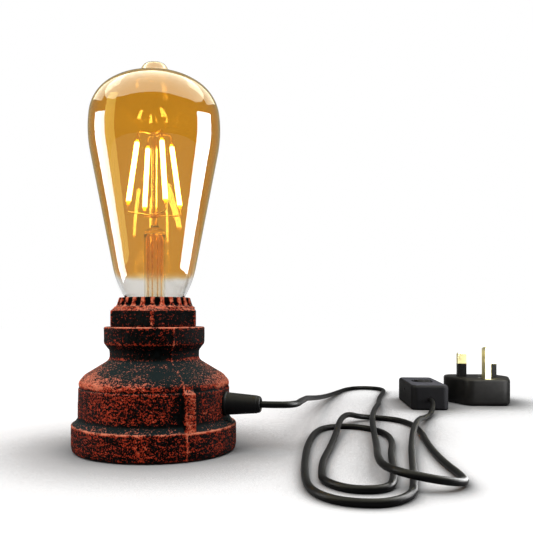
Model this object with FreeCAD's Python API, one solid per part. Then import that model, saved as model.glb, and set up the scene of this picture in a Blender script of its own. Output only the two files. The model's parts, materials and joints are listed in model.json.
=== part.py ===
"""Industrial pipe table lamp: a cast bell reducer as the base, a hex collar, an E27 lampholder with a
filament lamp, and a flex with an in-line rocker switch and a 13 A plug. Millimetres, +Z up.
Origin: centre of the base's underside, on the table. -Y is the front, and the flex leaves on the +X side."""
import os

import FreeCAD, Part

from math import atan2, cos, degrees, hypot, pi, radians, sin, tan

V = FreeCAD.Vector
UP = V(0, 0, 1)

# ---------------------------------------------------------------- driving dimensions
TABLE = 0.0
# base casting
RING_R = 39.5            # bottom ring, outside
RING_TOP = 12.8
WALL_R = 36.2            # body above the ring
WALL_BOTTOM = 16.2
SHOULDER_Z = 31.2        # where the wall meets the conical shoulder
NECK_R = 21.5
BAND_R = 24.2            # beaded band round the mouth
BAND_BOTTOM = 50.8
CAST_TOP = 58.9
CAST_WALL = 3.2
MOUTH_R = 18.0           # threaded mouth that takes the collar
PAD_T = 1.2
PLATE_T = 2.0
RIM_Z = 0.8              # the casting's rim clears the table
RECESS_R = 36.2          # recess for the base plate
PLATE_CLEARANCE = 0.2
BOSS_R = 3.6
BOSS_PITCH_R = 29.0
BOSS_TOP = 14.0
BOSS_ANGLES = (90.0, 210.0, 330.0)
RIB_ANGLE = -64.7        # cast rib, 25 degrees to the right of the front
RIB_W = 5.0
RIB_OUT = 39.2
SEAM_ANGLE = -68.0       # parting line of the two mould halves
SEAM_TURN = 1.4
SEAM_H = 0.35
# collar and crown
HEX_AF = 40.4
HEX_CORNER_ANGLE = -93.4
COLLAR_TOP = 67.9
COLLAR_STUB = 9.0
COLLAR_BORE = 15.7
FLANGE_R = 17.2
FLANGE_T = 2.0
CROWN_TOP = 72.9
CROWN_BORE = 15.5
FLUTES = 24
FLUTE_W = 2.3
FLUTE_FLOOR_R = 16.35
# E27 lampholder
HOLDER_R = 15.6
HOLDER_BOTTOM = 38.0
SOCKET_FLOOR = 42.4
SHELL_IN = 13.5
SHELL_OUT = 13.9
CONTACT_TOP = 44.9
TERMINAL_X = 9.0
# lamp (ST64, E27)
TIP_Z = 45.0
CAP_R = 13.1
CAP_T = 0.35
CAP_BOTTOM = 49.5
NECK_IN_CAP = 0.15       # room between the envelope's neck and the cap
GLASS_T = 0.8
GLASS_FOOT = 60.0
BULB_TOP = 187.5
GLASS_CORNERS = ((12.6, 69.2, 3.0), (19.0, 81.3, 44.4), (32.6, 151.3, 58.2), (30.3, 170.2, 20.5),
                 (19.7, 180.6, 26.2), (8.0, 183.45, 3.0), (4.2, 187.3, 2.6))
STEM_R = 5.2
STEM_T = 0.8
STEM_PINCH_Z = 100.0
ROD_R = 1.5
ROD_TOP = 152.0
BEAD_R = 2.3             # glass bead on the rod's end
FILAMENTS = 4
FILAMENT_R = 1.15
FILAMENT_TURN = -68.0    # angle of the first filament about the axis
FILAMENT_TOP = (9.0, 148.9)
FILAMENT_BOTTOM = (13.5, 117.4)
SPOKE_R = 0.3
BOTTOM_HUB_Z = 113.6
LEAD_R = 0.35
LEADS = ((-3.2, 0.4), (-1.1, -0.6), (1.4, 0.6), (3.2, -0.4))
# cord grip, on its own axis
GRIP_ANGLE = -20.0
GRIP_Z = 22.6
SPOT_X = 35.0            # milled flat on the wall, square to that axis
SPOT_R = 9.0
GRIP_END = 52.6
GRIP_BIG_R = 5.8
GRIP_BODY_R = 5.35
GRIP_SMALL_R = 4.15
GRIP_LIP = 1.4           # thickness of the flange at the big end
GRIP_STUB_R = 4.5
NUT_FACE = 31.6
NUT_T = 3.0
NUT_AF = 12.0
TAIL_END = 26.0          # where the flex's sheath is stripped, inside the base
# flex
CORD_D = 3.2
CORD_R = CORD_D / 2
WIRE_R = 0.75
CORE_Y = 0.8             # each core's offset from the flex's centreline
FLOOR_Z = CORD_R         # centreline of a cord that lies on the table
OVER_Z = 2 * CORD_D      # centreline where the cord passes over itself
# in-line switch
SWITCH_AT = (192.0, 139.0)
SWITCH_YAW = degrees(atan2(61.6, 13.2))
SWITCH_L = 63.0
SWITCH_W = 25.0
SWITCH_H = 17.0
SWITCH_SPLIT = 7.0
SWITCH_WALL = 2.0
SWITCH_POST = (24.0, 6.0)
SWITCH_POST_R = 2.8
SWITCH_TERMINAL = (14.0, 20.5)
SWITCH_TERMINAL_TOP = 6.2
SWITCH_STRIP_START = 3.0
SHEATH_STOP = 25.5       # where the sheath ends inside the switch, from its middle
ROCKER_L = 19.2
ROCKER_W = 12.8
ROCKER_GAP = 0.7
ROCKER_THROW = 8.0       # tilt either side of level
PIVOT_Z = 11.0
PIVOT_R = 1.0
# BS 1363 plug, lying on its back
PLUG_ENTRY = (243.0, 176.0)
PLUG_YAW = degrees(atan2(-13.0, -2.0))
PLUG_H = 19.0
PLUG_SPLIT = 9.5
PLUG_LOW = -23.4         # end that the flex enters
PLUG_HIGH = 23.6
PLUG_WIDE = 24.0
PLUG_WALL = 2.2
PLUG_CORD_Z = 8.0
BOSS_LEN = 7.0
EARTH_V = 17.7
LINE_V = -4.5
LINE_U = 11.1
EARTH_PIN = (4.0, 8.0, 22.7)
LINE_PIN = (6.35, 4.0, 17.7)
SLEEVE_LEN = 9.5
SLEEVE_T = 0.6
FACE_T = 4.0
COVER_SCREW_V = 6.2
SCREW_SPOTS = ((COVER_SCREW_V, 0.0), (-15.3, -6.9), (-15.3, 6.9))
CLAMP_Z = 11.2
FUSE_V = -10.0
FUSE_U = 10.7
FUSE_Z = 6.2
FUSE_R = 3.15
FUSE_L = 25.4
FUSE_CAP = 5.6
SHEATH_LEFT = -12.6      # where the sheath ends inside the plug

# centreline of the flex, point by point, from the grip to the switch and from the switch to the plug
LAMP_TO_SWITCH = [
    (49.428, -17.99, 22.6), (58.825, -21.41, 22.6), (67, -16, 22.2), (73, 3, 21.2), (80, 26, 19.2),
    (87, 52, 16.6), (96, 80, 13.2), (108, 112, 9.4),
    (122, 149, 5.6), (137, 184, 3), (151, 214, FLOOR_Z), (163, 233, FLOOR_Z), (176, 242, FLOOR_Z),
    (189, 237, FLOOR_Z), (192, 223, FLOOR_Z), (186, 205, FLOOR_Z), (175, 181, FLOOR_Z), (163, 150, FLOOR_Z),
    (152, 117, 4), (139, 84, OVER_Z), (127, 54, OVER_Z), (117, 24, OVER_Z), (108, -8, 3.4), (99, -38, 4.4),
    (91, -62, OVER_Z), (87, -80, OVER_Z), (91, -94, OVER_Z), (103, -100, 4.8), (115, -93, 2.2),
    (119, -79, FLOOR_Z), (122, -58, FLOOR_Z), (127, -35, FLOOR_Z), (133, -12, FLOOR_Z), (141, 13, FLOOR_Z),
    (147, 40, FLOOR_Z), (146, 59, FLOOR_Z), (137, 70, FLOOR_Z), (124, 69, 2.6), (113, 57, OVER_Z),
    (103, 38, OVER_Z), (94, 13, 3.2), (83, -17, FLOOR_Z), (72, -46, FLOOR_Z), (66, -68, FLOOR_Z),
    (63, -82, FLOOR_Z), (70, -96, FLOOR_Z), (84, -96, FLOOR_Z), (91, -82, FLOOR_Z), (98, -62, FLOOR_Z),
    (106, -36, FLOOR_Z), (117, -8, FLOOR_Z), (122, 15, FLOOR_Z), (119, 32, FLOOR_Z), (109, 43, FLOOR_Z),
    (95, 40, FLOOR_Z), (85, 24, FLOOR_Z), (74, -8, FLOOR_Z), (65, -42, FLOOR_Z), (58, -72, FLOOR_Z),
    (55, -95, FLOOR_Z), (61, -110, FLOOR_Z), (76, -115, FLOOR_Z), (89, -106, FLOOR_Z), (97, -87, FLOOR_Z),
    (107, -60, FLOOR_Z), (118, -30, 2.8), (132, 3, OVER_Z), (147, 33, OVER_Z), (161, 59, 2.8),
    (172, 77, FLOOR_Z), (179.5, 90, 4.4), (183.7, 100.4, 7), (185.4, 108.2, 7)]
SWITCH_TO_PLUG = [
    (198.6, 169.8, 7), (200.3, 177.6, 7), (202.5, 190, 4.2), (206, 206, FLOOR_Z), (213.5, 222, FLOOR_Z),
    (228, 231, FLOOR_Z), (242, 223, FLOOR_Z), (247.5, 207, FLOOR_Z), (246.5, 195.3, 5), (244.5, 185.8, 8),
    (243, 176, 8)]


# ---------------------------------------------------------------- helpers
def polar(radius, angle, z=0.0):
    return V(radius * cos(radians(angle)), radius * sin(radians(angle)), z)


def cylinder(radius, z0, z1, at=(0, 0)):
    return Part.makeCylinder(radius, z1 - z0, V(at[0], at[1], z0))


def rod(radius, start, end):
    return Part.makeCylinder(radius, (end - start).Length, start, end - start)


def block(x0, x1, y0, y1, z0, z1):
    return Part.makeBox(x1 - x0, y1 - y0, z1 - z0, V(x0, y0, z0))


def rounded_wire(corners):
    """Closed wire through (x, y, rounding) corners, each rounded by a tangent arc."""
    points = [V(c[0], c[1], 0) for c in corners]
    count = len(points)
    edges = []
    starts, ends, middles = [], [], []
    for i, corner in enumerate(corners):
        here = points[i]
        back = (points[i - 1] - here).normalize()
        ahead = (points[(i + 1) % count] - here).normalize()
        half = back.getAngle(ahead) / 2
        trim = corner[2] / tan(half) if corner[2] else 0.0
        starts.append(here + back * trim)
        ends.append(here + ahead * trim)
        middles.append(here + (back + ahead).normalize() * (corner[2] / sin(half) - corner[2])
                       if corner[2] else None)
    for i in range(count):
        if middles[i] is not None:
            edges.append(Part.Arc(starts[i], middles[i], ends[i]).toShape())
        following = starts[(i + 1) % count]
        if (following - ends[i]).Length > 1e-6:
            edges.append(Part.LineSegment(ends[i], following).toShape())
    return Part.Wire(edges)


def stand_up(shape):
    """Turns a profile drawn in XY so that its Y is +Z."""
    shape.rotate(V(0, 0, 0), V(1, 0, 0), 90)
    return shape


def lathe(corners, turn=360.0, start=0.0):
    """Solid of revolution about Z from (radius, z, rounding) corners."""
    face = Part.Face(stand_up(rounded_wire(corners)))
    solid = face.revolve(V(0, 0, 0), UP, turn)
    if start:
        solid.rotate(V(0, 0, 0), UP, start)
    return solid


def prism(corners, z0, z1):
    face = Part.Face(rounded_wire(corners))
    face.translate(V(0, 0, z0))
    return face.extrude(V(0, 0, z1 - z0))


def hexagon(across_flats, corner_angle):
    radius = across_flats / 2 / cos(radians(30))
    spots = [polar(radius, corner_angle + 60 * k) for k in range(6)]
    return [(p.x, p.y, 0) for p in spots]


def obround(length, width, z0, z1):
    """Slot-shaped prism along X."""
    half = (length - width) / 2
    body = block(-half, half, -width / 2, width / 2, z0, z1)
    return body.fuse([cylinder(width / 2, z0, z1, (-half, 0)), cylinder(width / 2, z0, z1, (half, 0))]
                     ).removeSplitter()


def cord_path(route):
    """Straight runs joined by tangent arcs, each as large as its two runs allow."""
    points = [V(*p) for p in route]
    edges, radii = [], []
    last = points[0]
    for before, here, after in zip(points, points[1:], points[2:]):
        back, ahead = (before - here), (after - here)
        reach = 0.45 * min(back.Length, ahead.Length)
        half_turn = (pi - back.getAngle(ahead)) / 2
        radius = reach / tan(half_turn)
        radii.append(radius)
        first = here + back.normalize() * reach
        second = here + ahead.normalize() * reach
        inward = (back + ahead).normalize()
        middle = here + inward * (radius / cos(half_turn) - radius)
        edges.append(Part.LineSegment(last, first).toShape())
        edges.append(Part.Arc(first, middle, second).toShape())
        last = second
    edges.append(Part.LineSegment(last, points[-1]).toShape())
    return Part.Wire(edges), radii


def tube(route, radius, name=None):
    path, radii = cord_path(route)
    start = V(*route[0])
    section = Part.Wire(Part.makeCircle(radius, start, V(*route[1]) - start))
    solid = path.makePipeShell([section], True, False)
    if name:
        expected = pi * radius ** 2 * path.Length
        print(f"{name}: length {path.Length:.0f} mm, least radius {min(radii):.1f} mm, "
              f"volume / (section x length) {solid.Volume / expected:.4f}")
        print("  radii " + " ".join(f"{r:.0f}" for r in radii))
    return solid


def placed(shape, at, yaw, z=0.0):
    """Moves a shape from its own frame, whose +X is its length, to its place on the table."""
    shape = shape.copy()
    shape.rotate(V(0, 0, 0), UP, yaw)
    shape.translate(V(at[0], at[1], z))
    return shape


def on_grip_axis(shape):
    """Takes a shape built round +X to the axis of the cord grip."""
    shape.rotate(V(0, 0, 0), UP, GRIP_ANGLE)
    shape.translate(V(0, 0, GRIP_Z))
    return shape


def csk_screw(radius, length, head_r, slot=0.5):
    """Countersunk screw along +Z with its head's face at z = 0 and its point at z = length."""
    head_h = head_r - radius
    head = Part.makeCone(head_r, radius, head_h)
    shank = Part.makeCylinder(radius, length - head_h, V(0, 0, head_h))
    cross = block(-head_r * 0.6, head_r * 0.6, -0.3, 0.3, -1, slot)
    cross = cross.fuse(block(-0.3, 0.3, -head_r * 0.6, head_r * 0.6, -1, slot))
    return head.fuse(shank).cut(cross).removeSplitter()


# ---------------------------------------------------------------- base
def casting_outline(grow=0.0):
    """Outside of the casting from the rim up, as (radius, z, rounding)."""
    return [(RING_R + grow, RIM_Z, 1.8), (RING_R + grow, RING_TOP + grow, 0.0),
            (WALL_R + grow, WALL_BOTTOM + grow, 0.0), (WALL_R + grow, SHOULDER_Z - 1.6, 0.0),
            (WALL_R - 0.3 + grow, SHOULDER_Z, 0.0), (33.2 + grow, 34.4 + grow, 4.5),
            (NECK_R + 0.2 + grow, 43.8 + grow, 3.0), (NECK_R + grow, 47.6, 0.0),
            (BAND_R + grow, BAND_BOTTOM - grow, 0.0), (BAND_R + grow, CAST_TOP, 0.9)]


def base_casting():
    inner_shoulder = SHOULDER_Z - 2.4
    cavity_r = WALL_R - CAST_WALL
    corners = casting_outline() + [
        (MOUTH_R, CAST_TOP, 0.0), (MOUTH_R, 44.4, 0.0), (30.6, inner_shoulder + 3.2, 0.0),
        (cavity_r, inner_shoulder, 0.0), (cavity_r, PAD_T + PLATE_T, 0.0),
        (RECESS_R, PAD_T + PLATE_T, 0.0), (RECESS_R, RIM_Z, 0.0)]
    body = lathe(corners)
    ribs = [rib(RIB_ANGLE), rib(RIB_ANGLE + 180)]
    seams = [seam(SEAM_ANGLE), seam(SEAM_ANGLE + 180)]
    bosses = [boss(angle) for angle in BOSS_ANGLES]
    body = body.fuse(ribs + seams + bosses).removeSplitter()
    spot = on_grip_axis(rod(SPOT_R, V(SPOT_X, 0, 0), V(SPOT_X + 10, 0, 0)))
    hole = on_grip_axis(rod(GRIP_STUB_R + 0.1, V(NUT_FACE - NUT_T, 0, 0), V(SPOT_X + 5, 0, 0)))
    drills = [cylinder(1.55, 0, BOSS_TOP - 2, tuple(polar(BOSS_PITCH_R, a))[:2]) for a in BOSS_ANGLES]
    return body.cut([spot, hole] + drills).removeSplitter()


def rib(angle):
    """Upright cast rib from the ring to the shoulder, with a sloping top."""
    face = stand_up(rounded_wire([(WALL_R - 2, RING_TOP - 2, 0), (RIB_OUT, RING_TOP - 2, 0),
                                  (RIB_OUT - 0.5, SHOULDER_Z - 1.6, 1.2), (WALL_R - 2, SHOULDER_Z + 0.9, 0)]))
    solid = Part.Face(face).extrude(V(0, RIB_W, 0))
    solid.translate(V(0, -RIB_W / 2, 0))
    solid.rotate(V(0, 0, 0), UP, angle)
    return solid


def seam(angle):
    """Fine raised line that the mould's joint leaves down the casting."""
    inner = 2.0
    corners = casting_outline(SEAM_H)
    corners[0] = (RING_R + SEAM_H, RIM_Z + 1.8, 0.0)
    corners[-1] = (BAND_R + SEAM_H, CAST_TOP - 0.6, 0.0)
    back = [(NECK_R - inner, CAST_TOP - 0.6, 0), (NECK_R - inner, 44.6, 0),
            (WALL_R - inner, SHOULDER_Z, 0), (WALL_R - inner, RIM_Z + 5.0, 0),
            (RING_R - inner, RIM_Z + 4.0, 0), (RING_R - inner, RIM_Z + 1.8, 0)]
    return lathe(corners + back, SEAM_TURN, angle - SEAM_TURN / 2)


def boss(angle):
    """Screw boss tied to the wall."""
    low = PAD_T + PLATE_T
    at = polar(BOSS_PITCH_R, angle)
    post = cylinder(BOSS_R, low, BOSS_TOP, (at.x, at.y))
    web = block(BOSS_PITCH_R, WALL_R - CAST_WALL + 1.0, -1.5, 1.5, low, BOSS_TOP)
    web.rotate(V(0, 0, 0), UP, angle)
    return post.fuse(web)


def base_plate():
    low = PAD_T
    plate = cylinder(RECESS_R - PLATE_CLEARANCE, low, low + PLATE_T)
    sinks = []
    for angle in BOSS_ANGLES:
        at = polar(BOSS_PITCH_R, angle, low)
        sinks.append(Part.makeCone(3.15, 1.6, 1.55, at))
        sinks.append(cylinder(1.65, low, low + PLATE_T, (at.x, at.y)))
    return plate.cut(sinks)


def base_plate_screws():
    screw = csk_screw(1.5, 9.0, 3.0)
    solids = []
    for angle in BOSS_ANGLES:
        one = screw.copy()
        one.translate(polar(BOSS_PITCH_R, angle, PAD_T + 0.05))
        solids.append(one)
    return Part.makeCompound(solids)


def base_pad():
    return lathe([(0, TABLE, 0), (RECESS_R - 0.4, TABLE, 0.3), (RECESS_R - 0.4, PAD_T, 0), (0, PAD_T, 0)])


# ---------------------------------------------------------------- collar, crown and lampholder
def hex_collar():
    corner_r = HEX_AF / 2 / cos(radians(30))
    hexagonal = prism(hexagon(HEX_AF, HEX_CORNER_ANGLE), CAST_TOP, COLLAR_TOP)
    turned = lathe([(0, CAST_TOP, 0), (corner_r - 0.4, CAST_TOP, 0), (corner_r + 0.1, CAST_TOP + 0.5, 0),
                    (corner_r + 0.1, COLLAR_TOP - 2.2, 0), (HEX_AF / 2 - 0.1, COLLAR_TOP, 0),
                    (0, COLLAR_TOP, 0)])
    stub = cylinder(MOUTH_R - 0.05, CAST_TOP - COLLAR_STUB, CAST_TOP)
    bore = cylinder(COLLAR_BORE, CAST_TOP - COLLAR_STUB - 1, COLLAR_TOP + 1)
    seat = cylinder(FLANGE_R + 0.1, COLLAR_TOP - FLANGE_T, COLLAR_TOP + 1)
    return hexagonal.common(turned).fuse(stub).cut([bore, seat]).removeSplitter()


def fluted_crown():
    low = COLLAR_TOP
    ring = lathe([(CROWN_BORE, low, 0), (20.2, low, 0), (20.0, low + 0.5, 0), (18.5, low + 1.2, 0),
                  (17.9, low + 3.0, 0), (17.1, CROWN_TOP, 0), (CROWN_BORE, CROWN_TOP, 0)])
    flutes = []
    for k in range(FLUTES):
        cut = block(FLUTE_FLOOR_R, 22, -FLUTE_W / 2, FLUTE_W / 2, low + 1.0, CROWN_TOP + 1)
        cut.rotate(V(0, 0, 0), UP, HEX_CORNER_ANGLE + 360.0 / FLUTES * (k + 0.5))
        flutes.append(cut)
    return ring.cut(flutes).removeSplitter()


def lampholder_body():
    """Glazed ceramic cup with a flange that the crown clamps on the collar's seat."""
    flange_low = COLLAR_TOP - FLANGE_T
    cup = lathe([(0, HOLDER_BOTTOM, 0), (HOLDER_R - 1.2, HOLDER_BOTTOM, 0), (HOLDER_R, HOLDER_BOTTOM + 4, 0),
                 (HOLDER_R, flange_low, 0), (FLANGE_R, flange_low, 0), (FLANGE_R, COLLAR_TOP, 0),
                 (SHELL_OUT + 0.5, COLLAR_TOP, 0), (SHELL_OUT + 0.05, COLLAR_TOP - 3.6, 0),
                 (SHELL_OUT + 0.05, SOCKET_FLOOR, 0), (0, SOCKET_FLOOR, 0)])
    ways = [cylinder(1.3, HOLDER_BOTTOM - 1, SOCKET_FLOOR + 1, (side * TERMINAL_X, 0)) for side in (-1, 1)]
    return cup.cut(ways)


def lampholder_screw_shell():
    top = COLLAR_TOP - 3.8
    shell = lathe([(SHELL_IN, SOCKET_FLOOR + 0.4, 0), (SHELL_OUT, SOCKET_FLOOR + 0.4, 0), (SHELL_OUT, top, 0),
                   (SHELL_IN, top, 0)])
    foot = block(6.5, SHELL_OUT - 0.5, -2.5, 2.5, SOCKET_FLOOR, SOCKET_FLOOR + 0.5)
    stem = cylinder(1.2, HOLDER_BOTTOM - 0.2, SOCKET_FLOOR + 0.2, (TERMINAL_X, 0))
    return shell.fuse([foot, stem]).removeSplitter()


def lampholder_centre_contact():
    button = lathe([(0, SOCKET_FLOOR, 0), (2.4, SOCKET_FLOOR, 0), (2.4, CONTACT_TOP - 0.5, 0),
                    (1.9, CONTACT_TOP, 0), (0, CONTACT_TOP, 0)])
    strip = block(-TERMINAL_X - 1.5, 0, -2, 2, SOCKET_FLOOR, SOCKET_FLOOR + 0.5)
    stem = cylinder(1.2, HOLDER_BOTTOM - 0.2, SOCKET_FLOOR + 0.2, (-TERMINAL_X, 0))
    return button.fuse([strip, stem]).removeSplitter()


def lampholder_terminals():
    solids = []
    for side in (-1, 1):
        body = block(-3, 3, -3.2, 3.2, HOLDER_BOTTOM - 6.4, HOLDER_BOTTOM - 0.2)
        body.translate(V(side * TERMINAL_X, 0, 0))
        wire_way = Part.makeCylinder(1.0, 8, V(side * TERMINAL_X, -4, HOLDER_BOTTOM - 3.4), V(0, 1, 0))
        screw_way = cylinder(1.05, HOLDER_BOTTOM - 7, HOLDER_BOTTOM - 3.4, (side * TERMINAL_X, 0))
        solids.append(body.cut([wire_way, screw_way]))
    return Part.makeCompound(solids)


def lampholder_terminal_screws():
    solids = []
    for side in (-1, 1):
        at = (side * TERMINAL_X, 0)
        shank = cylinder(1.0, HOLDER_BOTTOM - 6.4, HOLDER_BOTTOM - 4.3, at)
        head = cylinder(2.2, HOLDER_BOTTOM - 8.2, HOLDER_BOTTOM - 6.4, at)
        slot = block(at[0] - 3, at[0] + 3, -0.35, 0.35, HOLDER_BOTTOM - 9, HOLDER_BOTTOM - 7.4)
        solids.append(head.fuse(shank).cut(slot).removeSplitter())
    return Part.makeCompound(solids)


def lamp_wire(side):
    """One core from the flex's end up into its terminal."""
    end_z = HOLDER_BOTTOM - 3.4
    half_way = side * TERMINAL_X * 0.5 + 8.0
    turn = radians(GRIP_ANGLE)
    first = [(TAIL_END, side * CORE_Y, GRIP_Z), (TAIL_END - 2.5, side * CORE_Y, GRIP_Z),
             (20.5, side * 3.4, 23.0), (15.6, side * 6.8, 24.6)]
    start = [(x * cos(turn) - y * sin(turn), x * sin(turn) + y * cos(turn), z) for x, y, z in first]
    return tube(start + [(half_way, side * 10.0, 28.2), (side * TERMINAL_X + 1.0, side * 9.5, 33.0),
                         (side * TERMINAL_X, side * 5.0, end_z + 0.1),
                         (side * TERMINAL_X, side * 1.4, end_z)], WIRE_R)


# ---------------------------------------------------------------- lamp (bulb)
def inset_corners(corners, depth):
    """The same half outline a wall's thickness further in: corners move and their arcs keep their centres."""
    moved = []
    for before, here, after in zip(corners, corners[1:], corners[2:]):
        into = V(here[0] - before[0], here[1] - before[1], 0).normalize()
        out_of = V(after[0] - here[0], after[1] - here[1], 0).normalize()
        sideways = V(-into.y - out_of.y, into.x + out_of.x, 0)
        shift = sideways * (depth / (1 + into.dot(out_of)))
        bends_in = into.cross(out_of).z > 0
        moved.append((here[0] + shift.x, here[1] + shift.y, here[2] - depth if bends_in else here[2] + depth))
    return moved


def bulb_glass():
    """ST64 envelope of even thickness, from its neck in the cap to the sealed tip at the top."""
    neck_r = CAP_R - CAP_T - NECK_IN_CAP
    outer = [(neck_r, GLASS_FOOT, 0)] + list(GLASS_CORNERS) + [(0, BULB_TOP, 0)]
    inner = [(neck_r - GLASS_T, GLASS_FOOT, 0)] + inset_corners(outer, GLASS_T) + [(0, BULB_TOP - GLASS_T, 0)]
    return lathe(outer + inner[::-1])


def bulb_cap_shell():
    inner = CAP_R - CAP_T
    return lathe([(11.8, CAP_BOTTOM - 1.0, 0), (CAP_R - 1.1, CAP_BOTTOM - 1.0, 0),
                  (CAP_R, CAP_BOTTOM + 1.2, 0), (CAP_R, 66.8, 0), (CAP_R + 0.35, 67.4, 0),
                  (CAP_R + 0.35, 68.4, 0), (inner, 68.4, 0), (inner, CAP_BOTTOM + 1.4, 0),
                  (11.8, CAP_BOTTOM, 0)])


def bulb_cap_insulator():
    return lathe([(5.2, TIP_Z + 0.9, 0), (6.4, TIP_Z + 0.9, 0), (11.6, CAP_BOTTOM - 1.0, 0),
                  (11.6, CAP_BOTTOM + 0.2, 0), (5.2, CAP_BOTTOM + 0.2, 0)])


def bulb_tip_contact():
    return lathe([(0, TIP_Z, 0), (4.2, TIP_Z, 0.5), (5.1, TIP_Z + 1.0, 0), (5.1, TIP_Z + 2.0, 0),
                  (1.2, TIP_Z + 2.0, 0), (1.2, CAP_BOTTOM + 1.5, 0), (0, CAP_BOTTOM + 1.5, 0)])


def bulb_driver_board():
    board = cylinder(9.0, 53.4, 54.8)
    parts = [block(-5.5, 0.5, -3.5, 3.5, 54.7, 58.5), cylinder(2.4, 54.7, 61.0, (4.6, 0)),
             block(-2, 2, 4.2, 7.0, 54.7, 56.6)]
    return board.fuse(parts).removeSplitter()


def bulb_stem():
    """Flared glass foot, tube and flattened pinch that carry the leads."""
    flare_r = CAP_R - CAP_T - NECK_IN_CAP - GLASS_T - 0.1
    flare = lathe([(flare_r, 62.0, 0), (flare_r, 62.9, 0), (STEM_R + 1.5, 66.6, 4.0), (STEM_R, 74.0, 0),
                   (STEM_R, STEM_PINCH_Z, 0), (STEM_R - STEM_T, STEM_PINCH_Z, 0), (STEM_R - STEM_T, 74.0, 0),
                   (STEM_R + 1.5 - STEM_T, 65.9, 4.0)])
    pinch = lathe([(0, STEM_PINCH_Z - 0.1, 0), (STEM_R, STEM_PINCH_Z - 0.1, 0),
                   (STEM_R, STEM_PINCH_Z + 1.4, 1.2), (ROD_R, STEM_PINCH_Z + 8.5, 0),
                   (0, STEM_PINCH_Z + 8.5, 0)])
    return flare.fuse(pinch).removeSplitter()


def bulb_centre_rod():
    low = STEM_PINCH_Z + 8.5
    return lathe([(0, low, 0), (ROD_R, low, 0), (ROD_R, ROD_TOP - 1.2, 0), (BEAD_R, ROD_TOP - 0.4, 0),
                  (BEAD_R, ROD_TOP + 0.8, 0), (0, ROD_TOP + 1.4, 0)])


def filament_ends(k, extra=0.0):
    angle = FILAMENT_TURN + 360.0 / FILAMENTS * k
    high = polar(FILAMENT_TOP[0], angle, FILAMENT_TOP[1])
    low = polar(FILAMENT_BOTTOM[0], angle, FILAMENT_BOTTOM[1])
    along = (high - low).normalize()
    return low - along * extra, high + along * extra


def filaments():
    return Part.makeCompound([rod(FILAMENT_R, *filament_ends(k)) for k in range(FILAMENTS)])


def spoke(root, knee, tip):
    """Bent wire; its two runs overlap at the knee."""
    past = (knee - root).normalize() * (SPOKE_R / 2)
    back = (tip - knee).normalize() * (SPOKE_R / 2)
    return rod(SPOKE_R, root, knee + past).fuse(rod(SPOKE_R, knee - back, tip))


def filament_top_supports():
    """Four spokes fused into the rod's bead, each holding one filament's upper end."""
    solids = []
    for k in range(FILAMENTS):
        tip = filament_ends(k)[1]
        angle = degrees(atan2(tip.y, tip.x))
        root = polar(BEAD_R, angle, ROD_TOP + 0.2)
        solids.append(spoke(root, polar(FILAMENT_TOP[0] - 0.4, angle, ROD_TOP + 0.4), tip))
    return Part.makeCompound(solids)


def filament_bottom_supports():
    solids = []
    for k in range(FILAMENTS):
        tip = filament_ends(k)[0]
        angle = degrees(atan2(tip.y, tip.x))
        root = polar(ROD_R + 0.1, angle, BOTTOM_HUB_Z - 1.0)
        solids.append(spoke(root, polar(FILAMENT_BOTTOM[0] + 0.5, angle, BOTTOM_HUB_Z), tip))
    hub = lathe([(ROD_R, BOTTOM_HUB_Z - 2.0, 0), (ROD_R + 0.6, BOTTOM_HUB_Z - 2.0, 0),
                 (ROD_R + 0.6, BOTTOM_HUB_Z, 0), (ROD_R, BOTTOM_HUB_Z, 0)])
    return hub.fuse(solids).removeSplitter()


def bulb_lead_wires():
    """Leads through the stem, from the driver board to the pinch."""
    return Part.makeCompound([rod(LEAD_R, V(x, y, 61.2), V(x, y, STEM_PINCH_Z - 0.2)) for x, y in LEADS])


# ---------------------------------------------------------------- cord grip
def cord_grip():
    """Tapered nylon bush: threaded stub through the wall, flange on the milled flat, rounded nose."""
    inside_end = NUT_FACE - NUT_T - 1.0
    corners = [(CORD_R + 0.05, inside_end, 0), (GRIP_STUB_R, inside_end, 0), (GRIP_STUB_R, SPOT_X, 0),
               (GRIP_BIG_R, SPOT_X, 0), (GRIP_BIG_R, SPOT_X + GRIP_LIP, 0.3),
               (GRIP_BODY_R, SPOT_X + GRIP_LIP, 0), (GRIP_SMALL_R, GRIP_END - 1.8, 0),
               (GRIP_SMALL_R - 0.2, GRIP_END, 1.3), (2.6, GRIP_END, 0), (2.6, GRIP_END - 1.2, 0),
               (CORD_R + 0.05, GRIP_END - 1.2, 0)]
    bush = lathe(corners)
    bush.rotate(V(0, 0, 0), V(0, 1, 0), 90)
    return on_grip_axis(bush)


def cord_grip_locknut():
    nut = prism(hexagon(NUT_AF, 0.0), NUT_FACE - NUT_T, NUT_FACE)
    nut = nut.cut(cylinder(GRIP_STUB_R + 0.05, NUT_FACE - NUT_T - 1, NUT_FACE + 1))
    nut.rotate(V(0, 0, 0), V(0, 1, 0), 90)
    return on_grip_axis(nut)


def cord_tail():
    """The flex inside the grip, ending where its sheath is stripped."""
    return on_grip_axis(rod(CORD_R, V(TAIL_END, 0, 0), V(GRIP_END, 0, 0)))


# ---------------------------------------------------------------- in-line switch, in its own frame along X
def switch_outline(inset=0.0):
    half_l, half_w = SWITCH_L / 2 - inset, SWITCH_W / 2 - inset
    rounding = 4.0 - inset
    return [(-half_l, -half_w, rounding), (half_l, -half_w, rounding), (half_l, half_w, rounding),
            (-half_l, half_w, rounding)]


def cord_ways():
    """Round passages through the end walls, half in each shell."""
    return [Part.makeCylinder(CORD_R, 12, V(side * (SWITCH_L / 2 + 4), 0, SWITCH_SPLIT), V(-side, 0, 0))
            for side in (-1, 1)]


def soften(solid, z, radius):
    """Rounds every edge in the plane z."""
    edges = [e for e in solid.Edges if all(abs(v.Z - z) < 1e-4 for v in e.Vertexes)]
    return solid.makeFillet(radius, edges)


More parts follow.
